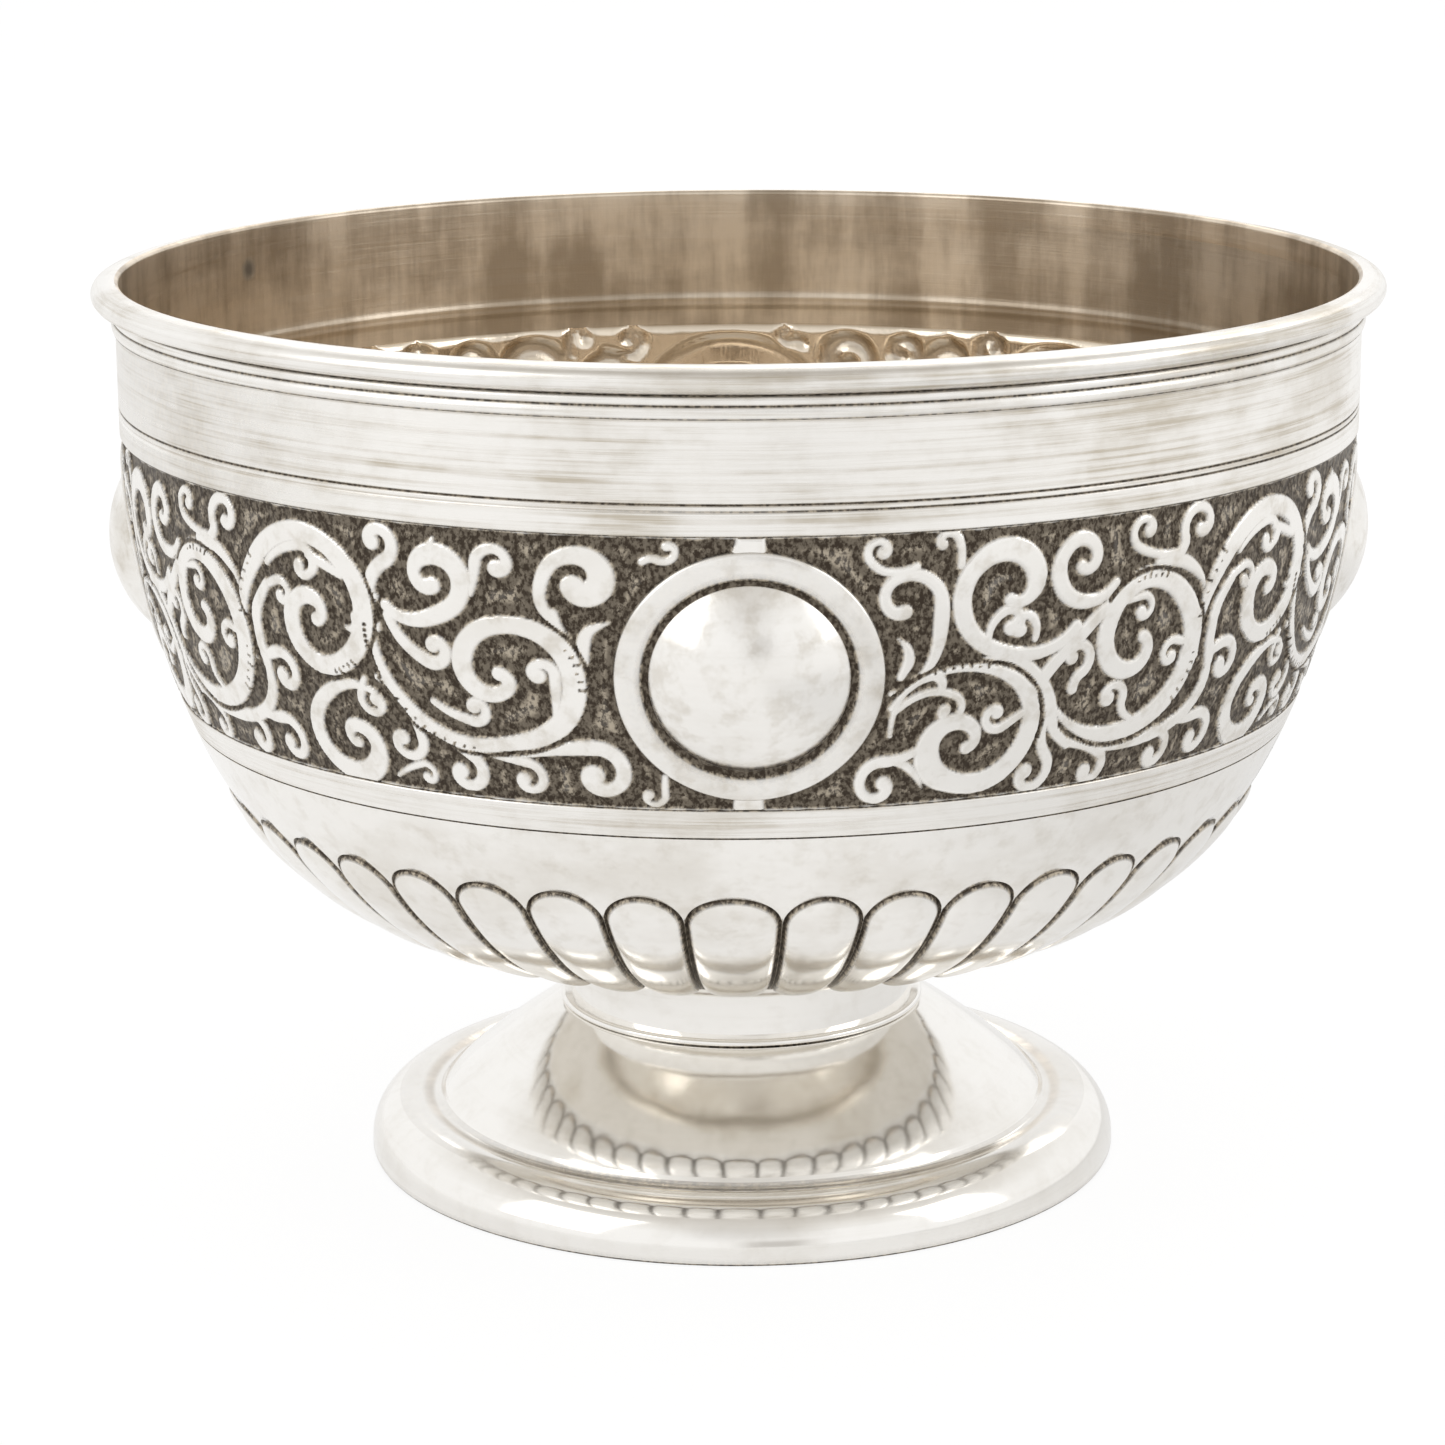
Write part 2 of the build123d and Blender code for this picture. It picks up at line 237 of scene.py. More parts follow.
# %% Camera, at eye height over a table
EYE, LENS = (0.0, -0.8344, 0.2972), 105.32
PAN, LOOK_DOWN, ROLL = 0.247, 14.066, -0.33
view = bpy.data.cameras.new("camera")
view.sensor_width, view.lens = 36.0, LENS
camera = place_object("camera", view)
stand = Matrix.Translation(EYE)
for degrees, axis in ((PAN, "Z"), (90 - LOOK_DOWN, "X"), (ROLL, "Z")):
    stand = stand @ Matrix.Rotation(radians(degrees), 4, axis)
camera.matrix_world = stand
bpy.context.scene.camera = camera
bpy.context.scene.view_settings.view_transform = "Standard"
print("camera", tuple(round(v, 3) for v in camera.location), "m")

# %% [markdown]
# ## Silver finishes
#
# Every finish is the same warm white metal. What changes is how it was left: buffed
# on the foot, rubbed in fine lines along the collar, hammered on the bosses' rings,
# and matted and darkened between the scrolls. A number stored on each point of a
# mesh says how dark that point is, from 0 for bright silver to 1 for the blackened
# bottom of a chased line. It is mostly tarnish, but in some places it is painted
# shade.

# %% Colours, and the noise behind them
SILVER = (0.924, 0.904, 0.868, 1.0)
WORN_INSIDE = (0.815, 0.715, 0.585, 1.0)
STAINED_INSIDE = (0.423, 0.351, 0.268, 1.0)
HAZE = (0.575, 0.520, 0.432, 1.0)
BLACKENED = (0.041, 0.028, 0.017, 1.0)
BROWNED = (0.475, 0.412, 0.322, 1.0)


def noise(sheet, at, scale, detail=3.0, roughness=0.55, stretch=(1.0, 1.0, 1.0)):
    """Cloudy noise; a small stretch draws it out along that axis."""
    turned = sheet.node("ShaderNodeMapping", values={"Vector": at, "Scale": stretch})
    return sheet.node("ShaderNodeTexNoise", values={
        "Vector": turned, "Scale": scale, "Detail": detail, "Roughness": roughness})


def bump(sheet, distance, height, **more):
    """Raises the shading by a height times a distance; more may hold a Normal."""
    return sheet.node("ShaderNodeBump", values={
        "Strength": 1.0, "Distance": distance, "Height": height, **more})


def inward(sheet, spot):
    """1 on faces that look towards the bowl's axis, 0 on the outside."""
    facing = sheet.node("ShaderNodeNewGeometry", out="Normal")
    level = sheet.vector("MULTIPLY", spot, (1.0, 1.0, 0.0), out=0)
    return (sheet.vector("DOT_PRODUCT", facing, level) * -1.0).between(0.004, 0.03)


print("six colours")


# %% The recipe that all the silver finishes share
def silver_finish(name, polish=0.15, rubbing=0.0, waves=0.3, matting=0.0, dull=0.0,
                  patches=0.25, mottle=0.10, back=(0.07, 0.0), smear=None):
    """Silver; rubbing is lines round the wall, waves the sheet's unevenness, dull and
    patches how much grey film it has all over and in clouds, mottle the same at the
    size of a hammer mark, back how much rougher and cleaner the inside is, smear the
    place of a mark."""
    finish = bpy.data.materials.new(name)
    sheet = Sheet(finish)
    spot = sheet.node("ShaderNodeTexCoord", out="Object")
    # Each point's number of tarnish and painted shade
    tarnish = sheet.node("ShaderNodeAttribute", {"attribute_name": "tarnish"}, out="Fac")
    inside = inward(sheet, spot)
    outside = 1.0 - inside
    cloud = noise(sheet, spot, 26.0, 5.0, 0.6, (1.0, 1.0, 1.8))
    fleck = noise(sheet, spot, 1150.0, 3.0, 0.65, (1.0, 1.0, 0.74))
    rub = noise(sheet, spot, 70.0, 6.0, 0.7, (0.20, 0.20, 14.0))
    wiped = noise(sheet, spot, 62.0, 5.0, 0.62, (1.0, 1.0, 0.16))
    blow = noise(sheet, spot, 210.0, 3.0, 0.6)
    # Clean silver: a film in clouds and rubbed lines outside, brown stains inside
    film = (cloud.between(0.46, 0.72) * patches + dull + blow.between(0.46, 0.74) * mottle
            + rub.between(0.44, 0.74) * (cloud.between(0.36, 0.62) + 0.35) * rubbing)
    worn = (wiped * 0.62 + cloud * 0.38).between(0.40 - back[1], 0.60 - back[1])
    clean = sheet.blend(inside, sheet.blend(film, SILVER, HAZE),
                        sheet.blend(worn, STAINED_INSIDE, WORN_INSIDE))
    # Tarnish and painted shade from each point's number: black in the deepest lines, flecked with
    # brown on open ground
    open_ground = 1.0 - tarnish.between(0.76, 0.98)
    brown = fleck.between(0.40, 0.62) * (open_ground * 0.68 + 0.32) * outside + inside * 0.12
    dark = (tarnish + (fleck - 0.5) * 0.45 * tarnish * outside).between(0.05, 0.85)
    if smear:
        away = sheet.vector("DISTANCE", spot, smear) + wiped * 0.005
        dark = dark.math("MAXIMUM", (1.0 - away.between(0.0030, 0.0058)) * 0.8)
    uneven = bump(sheet, 0.0005 * waves, noise(sheet, spot, 38.0, 2.0) + blow * (mottle * 0.22))
    lined = bump(sheet, 0.00004, rub * (rubbing * 1.6) + inside * wiped * 8.0, Normal=uneven)
    matted = bump(sheet, 0.00022, fleck * dark, Strength=matting, Normal=lined)
    body = sheet.node("ShaderNodeBsdfPrincipled", values={
        "Base Color": sheet.blend(dark, clean, sheet.blend(brown, BLACKENED, BROWNED)),
        "Metallic": 1.0 - dark * 0.35, "Normal": matted,
        "Roughness": polish + cloud * 0.06 + rub * rubbing * 0.22 + inside * back[0]
                     + dark * 0.25})
    sheet.node("ShaderNodeOutputMaterial", values={"Surface": body})
    return finish


BUFFED = silver_finish("buffed_silver", polish=0.07, rubbing=0.06, waves=0.6, patches=0.18)
RUBBED = silver_finish("rubbed_silver", polish=0.15, rubbing=0.74, waves=0.9, patches=0.50,
                       smear=(-0.1043, 0.0627, 0.1725))
CHASED = silver_finish("chased_silver", polish=0.17, waves=0.9, matting=1.0, patches=0.20,
                       mottle=0.45, back=(-0.05, 0.13))
LOBED = silver_finish("lobed_silver", polish=0.11, waves=0.9, matting=0.5, patches=0.34,
                      mottle=0.25)
HAMMERED = silver_finish("hammered_silver", polish=0.19, rubbing=0.06, waves=1.4,
                         patches=0.45, mottle=0.40)
# The plain underside has a grey film all over: part tarnish, part painted shade under the bowl.
DULL_AND_SHADED = silver_finish("dull_and_shaded_silver", polish=0.10, waves=0.8, dull=0.44, patches=0.35)
SOLDER = silver_finish("silver_solder", polish=0.35, waves=0.6, dull=0.3)
print("finishes:", *(finish.name for finish in (BUFFED, RUBBED, CHASED, LOBED, HAMMERED,
                                                DULL_AND_SHADED, SOLDER)))

# %% [markdown]
# ## Outlines
#
# A silversmith spins a foot or a rim against a template. The template here is a
# walk: a start, a heading, and moves that are either straight lengths or arcs with
# a turn, so every arc runs on smoothly from the last. The parallel of a walk gives
# the other side of a sheet of even thickness.


# %% Walk an outline and take its parallel
def right_of(heading):
    """Unit step to the right of a heading in degrees."""
    angle = radians(heading)
    return sin(angle), -cos(angle)


def walk(start, heading, moves, fine=2.5):
    """Points (radius, height, heading) along moves: (length, 0) or (arc radius, turn)."""
    radius, height = start
    line = [(radius, height, heading)]
    for size, turn in moves:
        parts = max(1, math.ceil(abs(turn) / fine))
        for part in range(1, parts + 1):
            now = heading - turn * part / parts
            if turn:
                side = math.copysign(size, turn)
                step = [side * (a - b) for a, b in zip(right_of(heading), right_of(now))]
            else:
                step = (cos(radians(heading)) * size,
                        sin(radians(heading)) * size)
            line.append((radius + step[0], height + step[1], now))
        radius, height, heading = line[-1]
    return line


def beside(line, shift):
    """The same line moved sideways, to its right."""
    return [(r + shift * right_of(h)[0], z + shift * right_of(h)[1], h) for r, z, h in line]


def arc(centre, size, angles):
    """Points of an arc round a centre, at angles in degrees."""
    return [(centre[0] + size * cos(radians(a)),
             centre[1] + size * sin(radians(a))) for a in angles]


print("an arc's end:", tuple(round(v, 2) for v in walk((0, 0), 0, [(10, 90)])[-1]))


# %% Templates of the foot, the neck and the bowl
def draw_in(line, stretch, share=0.45):
    """Draws a stretch in towards the straight line between its ends."""
    (r0, z0, _), (r1, z1, _) = line[stretch[0]], line[stretch[-1]]
    slope = math.degrees(math.atan2(z1 - z0, r1 - r0))
    for k in stretch:
        along = math.hypot(line[k][0] - r0, line[k][1] - z0) / math.hypot(r1 - r0, z1 - z0)
        straight = (r0 + (r1 - r0) * along, z0 + (z1 - z0) * along, slope)
        line[k] = tuple((1 - share) * a + share * b for a, b in zip(line[k], straight))
    return slope


def round_off(line, corner, before=6.5, after=3.0, most=1.5):
    """Rounds a line near one of its points, by sliding averages."""
    runs = np.cumsum([0.0] + [math.dist(a[:2], b[:2]) for a, b in zip(line, line[1:])])
    rows = np.array(line)
    for k, run in enumerate(runs):
        reach = min(most, runs[corner] + after - run, run - (runs[corner] - before))
        if reach > 0.05:
            window = np.linspace(run - reach, run + reach, 31)
            line[k] = tuple(float(np.interp(window, runs, rows[:, n]).mean())
                            for n in range(3))


NECK = 35
FOOT_EDGE = (76.6, 2.2)
FOOT_MOVES = [(9.4, -115), (0.9, 115), (0.1, 0), (1.4, -44.75), (103, -16.7), (2, -28.55)]
NECK_MOVES = [(40, 12), (9.5, 70)]
BOWL_RADIUS = 122.6
BOWL_MOVES = [(21.6, 0), (158, 23.5), (79.9, 13.3), (64.5, 53.2)]

foot_line = walk(FOOT_EDGE, 90, FOOT_MOVES)
SHELF = foot_line[-1][1]
foot_line = foot_line[:-1] + walk(foot_line[-1][:2], 180, [(foot_line[-1][0] - NECK, 0)])
# The dome between the step and the shelf is nearly a cone: it is drawn in by about
# half a millimetre from the arc of the solid, and its two ends stay. The step below
# it is rounded off a little more than the solid.
upright = max(k for k, row in enumerate(foot_line) if row[2] < 90.1)
dome = [k for k, row in enumerate(foot_line) if k > upright and 134.7 < row[2] < 151.5]
slope = draw_in(foot_line, dome)
round_off(foot_line, dome[0])
print("dome drawn in over", len(dome), "points, slope", round(180 - slope, 1))

spool_line = walk((NECK, SHELF + 1.6), 92, NECK_MOVES)
BOWL_BOTTOM = spool_line[-1][1] + 1.3
SHEET_EDGE = BOWL_BOTTOM - walk((BOWL_RADIUS, 0), -90, BOWL_MOVES)[-1][1]
wall_line = walk((BOWL_RADIUS, SHEET_EDGE), -90, BOWL_MOVES, fine=0.5)
print("shelf", round(SHELF, 2), "bowl bottom", round(BOWL_BOTTOM, 2), "sheet edge",
      round(SHEET_EDGE, 2), "mm")

# %% Where the bowl's wall is
wall_radius, wall_height, wall_heading = np.array(wall_line).T
wall_lean = np.radians(-90 - wall_heading)
wall_length = np.append(0.0, np.cumsum(np.hypot(np.diff(wall_radius), np.diff(wall_height))))


def wall_by_height(height):
    """Radius and lean (radians) of the outside at a height."""
    return [np.interp(-height, -wall_height, column) for column in (wall_radius, wall_lean)]


def wall_by_length(run):
    """Radius, height and lean at a distance along the outside from its top edge."""
    return [np.interp(run, wall_length, column)
            for column in (wall_radius, wall_height, wall_lean)]


def off_wall(run, out):
    """Radius and height of a point a little way off the outside."""
    radius, height, lean = (float(v) for v in wall_by_length(run))
    return radius + out * cos(lean), height - out * sin(lean)


def run_at_height(height):
    return float(np.interp(-height, -wall_height, wall_length))


print("wall at 125 mm:", [round(float(v), 3) for v in wall_by_height(125.0)])


# %% Spin a closed outline and dress the result
def new_mesh():
    """An empty mesh in millimetres, and its tarnish."""
    bm = bmesh.new()
    return bm, bm.verts.layers.float.new("tarnish")


def flat_grid(bm, columns, rows):
    """Adds a grid; returns its vertices and their shares across and up, 0 to 1."""
    made = bmesh.ops.create_grid(bm, x_segments=columns, y_segments=rows, size=1.0)["verts"]
    shares = np.array([vert.co[:2] for vert in made]) * 0.5 + 0.5
    return made, shares[:, 0], shares[:, 1]


def spun(outline, steps=256, open_ends=False):
    """A ring or disc of revolution; outline rows are (radius, height[, tarnish])."""
    bm, tarnish = new_mesh()
    dots = []
    for row in outline:
        dot = bm.verts.new((row[0], 0, row[1]))
        dot[tarnish] = row[2] if len(row) > 2 else 0.0
        dots.append(dot)
    pairs = list(zip(dots, dots[1:])) + ([] if open_ends else [(dots[-1], dots[0])])
    sides = [bm.edges.new(pair) for pair in pairs]
    bmesh.ops.spin(bm, geom=dots + sides, cent=(0, 0, 0), axis=(0, 0, 1),
                   angle=math.tau, steps=steps, use_merge=True)
    bmesh.ops.remove_doubles(bm, verts=bm.verts, dist=1e-4)
    bmesh.ops.recalc_face_normals(bm, faces=bm.faces)
    return bm


def dress(bm, name, finish, node="bowl_body", sharp=34):
    """Turns a mesh in millimetres into a piece that stands for a node of the model."""
    for face in bm.faces:
        face.smooth = True
    loose = 0
    for edge in bm.edges:
        loose += len(edge.link_faces) != 2
        if len(edge.link_faces) == 2 and edge.calc_face_angle(0) > radians(sharp):
            edge.smooth = False
    bmesh.ops.scale(bm, vec=(MM, MM, MM), verts=bm.verts)
    piece = mesh_object(name, bm, finish)
    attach(piece, "root")
    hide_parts(node)
    triangles = sum(len(face.vertices) - 2 for face in piece.data.polygons)
    print(f"{name}: {triangles} triangles, {loose} open edges")
    return piece


print("spinning lathe ready")


# %% Where a point is, where a face looks, and soft marks
def turned(vert):
    """Degrees round the bowl from its front, more to the right."""
    return math.degrees(math.atan2(vert.co.x, -vert.co.y))


def looks_out(face, down=0):
    """How squarely a face looks out from the bowl's axis, -1 to 1; down tilts that."""
    return face.normal.dot(Vector((*face.calc_center_median().xy, -down)).normalized())


def bell(value, middle, width, power=2):
    """1 in the middle, and softly down to 0 on both sides."""
    return math.exp(-((value - middle) / width) ** power)


def step_up(value, low, high):
    """0 below low, 1 above high, smooth in between."""
    share = np.clip((value - low) / (high - low), 0, 1)
    return share * share * (3 - 2 * share)


print("half way down a bell:", round(bell(1.0, 0.0, 1.2), 2))

# %% [markdown]
# ## Foot and neck
#
# The foot is spun from one sheet: a rolled edge, a small step, and a low dome that
# rises to a flat shelf. It stands on a heavy wire. The neck is a turned spool whose
# skirt drops through the shelf, with a bead wire round it. All of them are turned
# shapes, so the lathe makes each from the outline of the real section.

# %% Foot sheet
FOOT_SHEET = 1.1
NECK_CORNER, HOLLOW = 37.2, (61.9, 71.0)


def foot_painted_shade(r, z):
    """Painted shade in the corner round the neck and in the hollow of the step."""
    if r < NECK_CORNER:
        return 0.9
    return 0.20 if HOLLOW[0] < r < HOLLOW[1] and z < 12.0 else 0.0


foot = spun([(r, z, foot_painted_shade(r, z)) for r, z, _ in foot_line]
            + [(r, z) for r, z, _ in beside(foot_line, -FOOT_SHEET)[::-1]])
tarnish = foot.verts.layers.float["tarnish"]
# The painted shade in the neck's corner is kept to the front, and the step's hollow is shaded more
# towards the front left.
for vert in foot.verts:
    if vert.co.xy.length < 38:
        vert[tarnish] *= 0.10 + 0.90 * max(0.0, 1 - abs(turned(vert) - 6) / 38) ** 0.6
    elif vert[tarnish] > 0 and vert.co.xy.length < 64.8:
        vert[tarnish] += 0.20 * bell(turned(vert), -14, 42)
dress(foot, "foot_dome_silver", BUFFED, "foot_dome")

# %% Wire under the foot
WIRE_IN, WIRE_BEND = 73.0, 0.9
bend = arc((FOOT_EDGE[0] - WIRE_BEND, WIRE_BEND), WIRE_BEND, range(-90, 1, 10))
# The rolled bend is painted a little darker all round, and dark along its lowest edge as painted
# shade where the foot stands on the floor.
dress(spun([(WIRE_IN, 0.25), (WIRE_IN + 0.25, 0.0),
            *[(r, z, 0.9 if z < 0.5 else 0.25) for r, z in bend],
            FOOT_EDGE, (WIRE_IN, FOOT_EDGE[1])]),
      "foot_wire_silver", BUFFED, "foot_rim_wire")

# %% Neck spool and bead
BORE, SKIRT, BEAD = 33.6, 1.8, 0.8
neck_top = spool_line[-1][0]
neck_inside = neck_top - 3
dress(spun([(r, z) for r, z, _ in spool_line]
           + [(neck_top, BOWL_BOTTOM), (neck_inside, BOWL_BOTTOM),
              (BORE, BOWL_BOTTOM - neck_inside + BORE), (BORE, SHELF - SKIRT),
              (NECK, SHELF - SKIRT)]),
      "neck_spool_silver", BUFFED, "neck_spool")
bead = arc((NECK + 1.4, SHELF + BEAD), BEAD, range(-90, 91, 15))
dress(spun([(NECK, SHELF), *bead, (NECK, SHELF + 2 * BEAD)]),
      "neck_bead", BUFFED, "neck_bead_ring")

# %% [markdown]
# ## Rim
#
# The rim is a cast moulding: a rounded lip over two fine reeds, soldered on the
# edge of the sheet. Dirt stays in the creases between the reeds, so the outline's
# points carry a little tarnish there.

# %% Lip and reeds
SHEET = 0.9
REEDS = 123.0
LIP_MOVES = [(0.9, 90), (8, 25), (2, 65), (2, 72)]
lip = walk((BOWL_RADIUS - SHEET, SHEET_EDGE + 4.5), 90, LIP_MOVES, fine=6)
slant = (lip[-1][0] - REEDS) / math.tan(radians(72))
reeds_top = lip[-1][1] - slant


def reed(top, bottom):
    """A small bulge between two heights, dark in both creases."""
    middle, half = (top + bottom) / 2, (top - bottom) / 2
    return [(REEDS + 0.35 * (1 - up * up), middle + up * half, min(1.0, 1.15 * abs(up) ** 4))
            for up in (1 - part / 6 for part in range(13))]


reeds = reed(reeds_top, reeds_top - 1.9) + reed(reeds_top - 1.9, reeds_top - 4.3)[1:]
dress(spun([(r, z, 0.0) for r, z, _ in lip] + reeds
           + [(BOWL_RADIUS, reeds[-1][1]), (BOWL_RADIUS, SHEET_EDGE),
              (BOWL_RADIUS - SHEET, SHEET_EDGE)]),
      "rim_moulding_silver", RUBBED, "rim_moulding")

# %% [markdown]
# ## Collar and plain bands
#
# Above and below the frieze the wall is plain, with fine lines chased round it. A
# chased line is a shallow round groove, blackened at the bottom. The bands meet the
# frieze inside such a line, which hides the join.

# %% Where the bands stop
FRIEZE_TOP, FRIEZE_LOW, LOBES_TOP = 151.4, 100.2, 94.3
TWIN_LINES = (SHEET_EDGE - 19.1, SHEET_EDGE - 20.3)
LINE_SECTION = [(-0.38, 0.0, 0.0), (-0.24, 0.10, 0.35), (-0.1, 0.22, 0.95), (0.0, 0.25, 1.0),
                (0.1, 0.22, 0.95), (0.24, 0.10, 0.35), (0.38, 0.0, 0.0)]
LINE_RIDGE = 0.24


def band(top, low, lines, count=14):
    """A closed ring of the wall between two heights, with chased lines round it."""
    start, end = run_at_height(top), run_at_height(low)
    at = [run_at_height(line) for line in lines]
    marks = [(run, 0.0, 0.0) for run in np.linspace(start, end, count)
             if all(abs(run - place) > 0.5 for place in at)]
    marks += [(place + step, deep, dark) for place in at for step, deep, dark in LINE_SECTION]
    outside = [(*off_wall(run, -deep), dark) for run, deep, dark in sorted(marks)
               if start - 1e-6 <= run <= end + 1e-6]
    # A soft ridge runs inside behind every line that isn't at an end.
    behind = [place for place in at if start + 1 < place < end - 1]
    inside = [off_wall(run, -SHEET - LINE_RIDGE * max(
                  (bell(run, place, 0.9) for place in behind), default=0.0))
              for run in np.linspace(end, start, 5 * count)]
    return spun(outside + inside)


print("twin lines at", [round(height, 1) for height in TWIN_LINES], "mm")

# %% The collar over the frieze and the band under it
collar = band(SHEET_EDGE, FRIEZE_TOP, [*TWIN_LINES, FRIEZE_TOP])
tarnish = collar.verts.layers.float["tarnish"]
# Inside, the collar is darker round the back right. Outside, painted shade darkens it towards the
# left, and the lower of the twin lines is fainter on the left.
for vert in collar.verts:
    if vert.co.xy.length < wall_by_height(vert.co.z)[0] - 0.6:
        vert[tarnish] = 0.33 * bell(turned(vert), 122, 30)
    else:
        vert[tarnish] = max(vert[tarnish], 0.235 * bell(turned(vert), -72, 42, 4))
    if abs(vert.co.z - TWIN_LINES[1]) < 0.5:
        vert[tarnish] *= 0.25 + 0.75 * min(1.0, max(0.0, 0.5 + turned(vert) / 30))
dress(collar, "bowl_collar", RUBBED)
dress(band(FRIEZE_LOW, LOBES_TOP, [FRIEZE_LOW, LOBES_TOP], 8), "bowl_band", RUBBED)

# %% [markdown]
# ## Scrolls of the frieze
#
# The chaser draws each scroll as one stroke that swells and thins, curls round and
# ends in a bulb. The strokes here are the same: a loop turns round a centre with a
# radius that shrinks, a hook is a stem that ends in a small curl, and a leaf runs
# through a few points. Places are in degrees round the wall and millimetres of
# height, and one quarter of the bowl holds the whole design.

# %% Three kinds of stroke
DEGREE = 2.096
THIN = 0.95


def smooth_run(values, where):
    """Catmull-Rom interpolation of a list of numbers or points."""
    values = np.asarray(values, float)
    last = len(values)
    base = np.clip(np.floor(where).astype(int), 0, last - 2)
    part = where - base
    if values.ndim > 1:
        part = part[:, None]
    a, b, c, d = (values[np.clip(base + step, 0, last - 1)] for step in (-1, 0, 1, 2))
    return 0.5 * (2 * b + (c - a) * part + (2 * a - 5 * b + 4 * c - d) * part ** 2
                  + (3 * b - a - 3 * c + d) * part ** 3)


def loop(place, height, start, step, radii, widths, edge=None, marks=()):
    """A volute as rows of (x, z, half width), with a chased outline and punch marks."""
    where = np.linspace(0, len(radii) - 1, (len(radii) - 1) * 26 + 1)
    radius, width = smooth_run(radii, where), smooth_run(widths, where)
    angle = np.radians(start + step * where)
    rows = np.stack([place * DEGREE + radius * np.cos(angle), height + radius * np.sin(angle),
                     width], 1)
    if edge:
        keep = (where >= edge[0]) & (where <= edge[1])
        out = radius + width + 0.22
        line = np.stack([place * DEGREE + out * np.cos(angle), height + out * np.sin(angle),
                         np.full(len(out), 0.38)], 1)
        outlines.append(line[keep])
    for begin, end in marks:
        for count, spot in enumerate(np.arange(begin, end, 0.105)):
            turn = radians(start + step * spot)
            for share in (0.35, 0.55, 0.75)[:3 - count % 3]:
                out = float(np.interp(spot, where, radius) + share * np.interp(spot, where, width))
                punches.append([place * DEGREE + out * cos(turn),
                                height + out * sin(turn), 0.20])
    return rows


def hook(place, height, curl_place, curl_height, size, start, sweep, root, stem, bulb):
    """A stem that runs into a small curl with a bulb at its end."""
    begin, turn = radians(start), radians(sweep)
    share = np.linspace(0, 1, 40)
    radius, angle = size * (1 - 0.82 * share ** 1.3), begin + turn * share
    curl = np.stack([curl_place * DEGREE + radius * np.cos(angle),
                     curl_height + radius * np.sin(angle)], 1)
    foot = np.array([place * DEGREE, height])
    lead = np.array([-sin(begin), cos(begin)]) * math.copysign(1, sweep)
    pull = curl[0] - lead * np.linalg.norm(curl[0] - foot) * 0.55
    part = np.linspace(0, 1, 36)[:, None]
    run = (1 - part) ** 2 * foot + 2 * (1 - part) * part * pull + part ** 2 * curl[0]
    rows = np.concatenate([run[:-1], curl])
    width = THIN * np.interp(np.linspace(0, 1, len(rows)), [0, 0.45, 0.75, 1],
                             [root, stem * 0.95, stem * 0.8, bulb])
    return np.concatenate([rows, width[:, None]], 1)


def leaf(points, widths):
    """A stroke through a few points."""
    where = np.linspace(0, len(points) - 1, (len(points) - 1) * 22 + 1)
    rows = smooth_run([(x * DEGREE, z) for x, z in points], where)
    return np.concatenate([rows, smooth_run(widths, where)[:, None]], 1)


outlines, punches = [], []
print("strokes ready")

# %% The design of one quarter
MAIN = [
    # A, the volute beside the boss
    loop(19.65, 111.1, 150, -60, [16.3, 14.9, 14.8, 10.9, 7.5, 7, 6.1, 4.5, 3, 1.2],
         [0.8, 1, 2, 2.4, 2.3, 2.8, 2.2, 1.8, 1.4, 1.5], edge=(0.1, 2.6), marks=[(0.6, 1.3)]),
    # B, above it
    loop(23, 139.6, -30, -60, [15.9, 11.4, 9.7, 8.6, 7.6, 5.6, 3.4, 1.6],
         [1.5, 1.7, 2, 2.1, 2.5, 2.3, 1.5, 1.5]),
    # C, the large middle volute
    loop(36.46, 127, -150, 60, [19.9, 17.3, 15.3, 12.7, 11.2, 8.4, 6.7, 5.1, 3, 1.4],
         [0.8, 2.2, 2.7, 2.5, 1.8, 2.2, 2.2, 1.9, 1.6, 1.5], edge=(0.2, 4.7),
         marks=[(1.7, 2.3), (3.6, 4.2)]),
    # D, which leans against it
    loop(53.4, 131.6, 210, -60, [21.5, 16.6, 15.5, 13.2, 10.6, 9.1, 6.2, 4.5, 3.7, 3, 1.2],
         [0.9, 2.2, 2.2, 2.4, 2.3, 2.2, 2.4, 2, 1.9, 1.6, 1.6], edge=(2, 5.6),
         marks=[(0.4, 1.1), (4.2, 4.7)]),
    # E, before the next boss
    loop(70.9, 124.6, 150, 60, [25.2, 18.7, 13.2, 13.6, 12.7, 9.4, 6.6, 4.7, 3.5, 2.8, 1],
         [1, 1.6, 1.7, 2.3, 2.2, 2, 2.2, 2, 1.7, 1.5, 1.6], edge=(0.2, 5),
         marks=[(0.8, 1.7), (3.4, 4)]),
    # F, under D
    loop(56.3, 108.3, 60, 60, [11.9, 10.2, 10.4, 7.6, 5.3, 4.1, 3.2, 2.8, 1.6, 0.5],
         [0.9, 1.7, 2.1, 2.4, 2.4, 2, 1.8, 1.6, 1.3, 1.3]),
    # Three smaller ones along the top
    loop(29.7, 143.2, -30, -60, [8.8, 6.9, 5.1, 4.4, 4.6, 3.5, 2, 0.6],
         [1.2, 1.7, 1.9, 1.7, 1.7, 1.5, 1.4, 1.5]),
    loop(13.8, 139, -97, 60, [17, 8, 6, 5, 4.4, 3.2, 1.8],
         [0.7, 1.7, 1.5, 1.4, 1.3, 1.4, 1.6]),
    loop(66.05, 141.3, -150, 60, [11, 6.4, 5.4, 5.3, 5, 3.9, 2, 0.8],
         [1.3, 1.9, 2, 2.2, 2.3, 1.5, 1.7, 1.8]),
    loop(77.8, 143, 240, -60, [8, 5.5, 4.9, 4.7, 3.9, 2.6, 1],
         [1.2, 1.4, 1.7, 2.2, 2.5, 2.5, 2.3]),
]
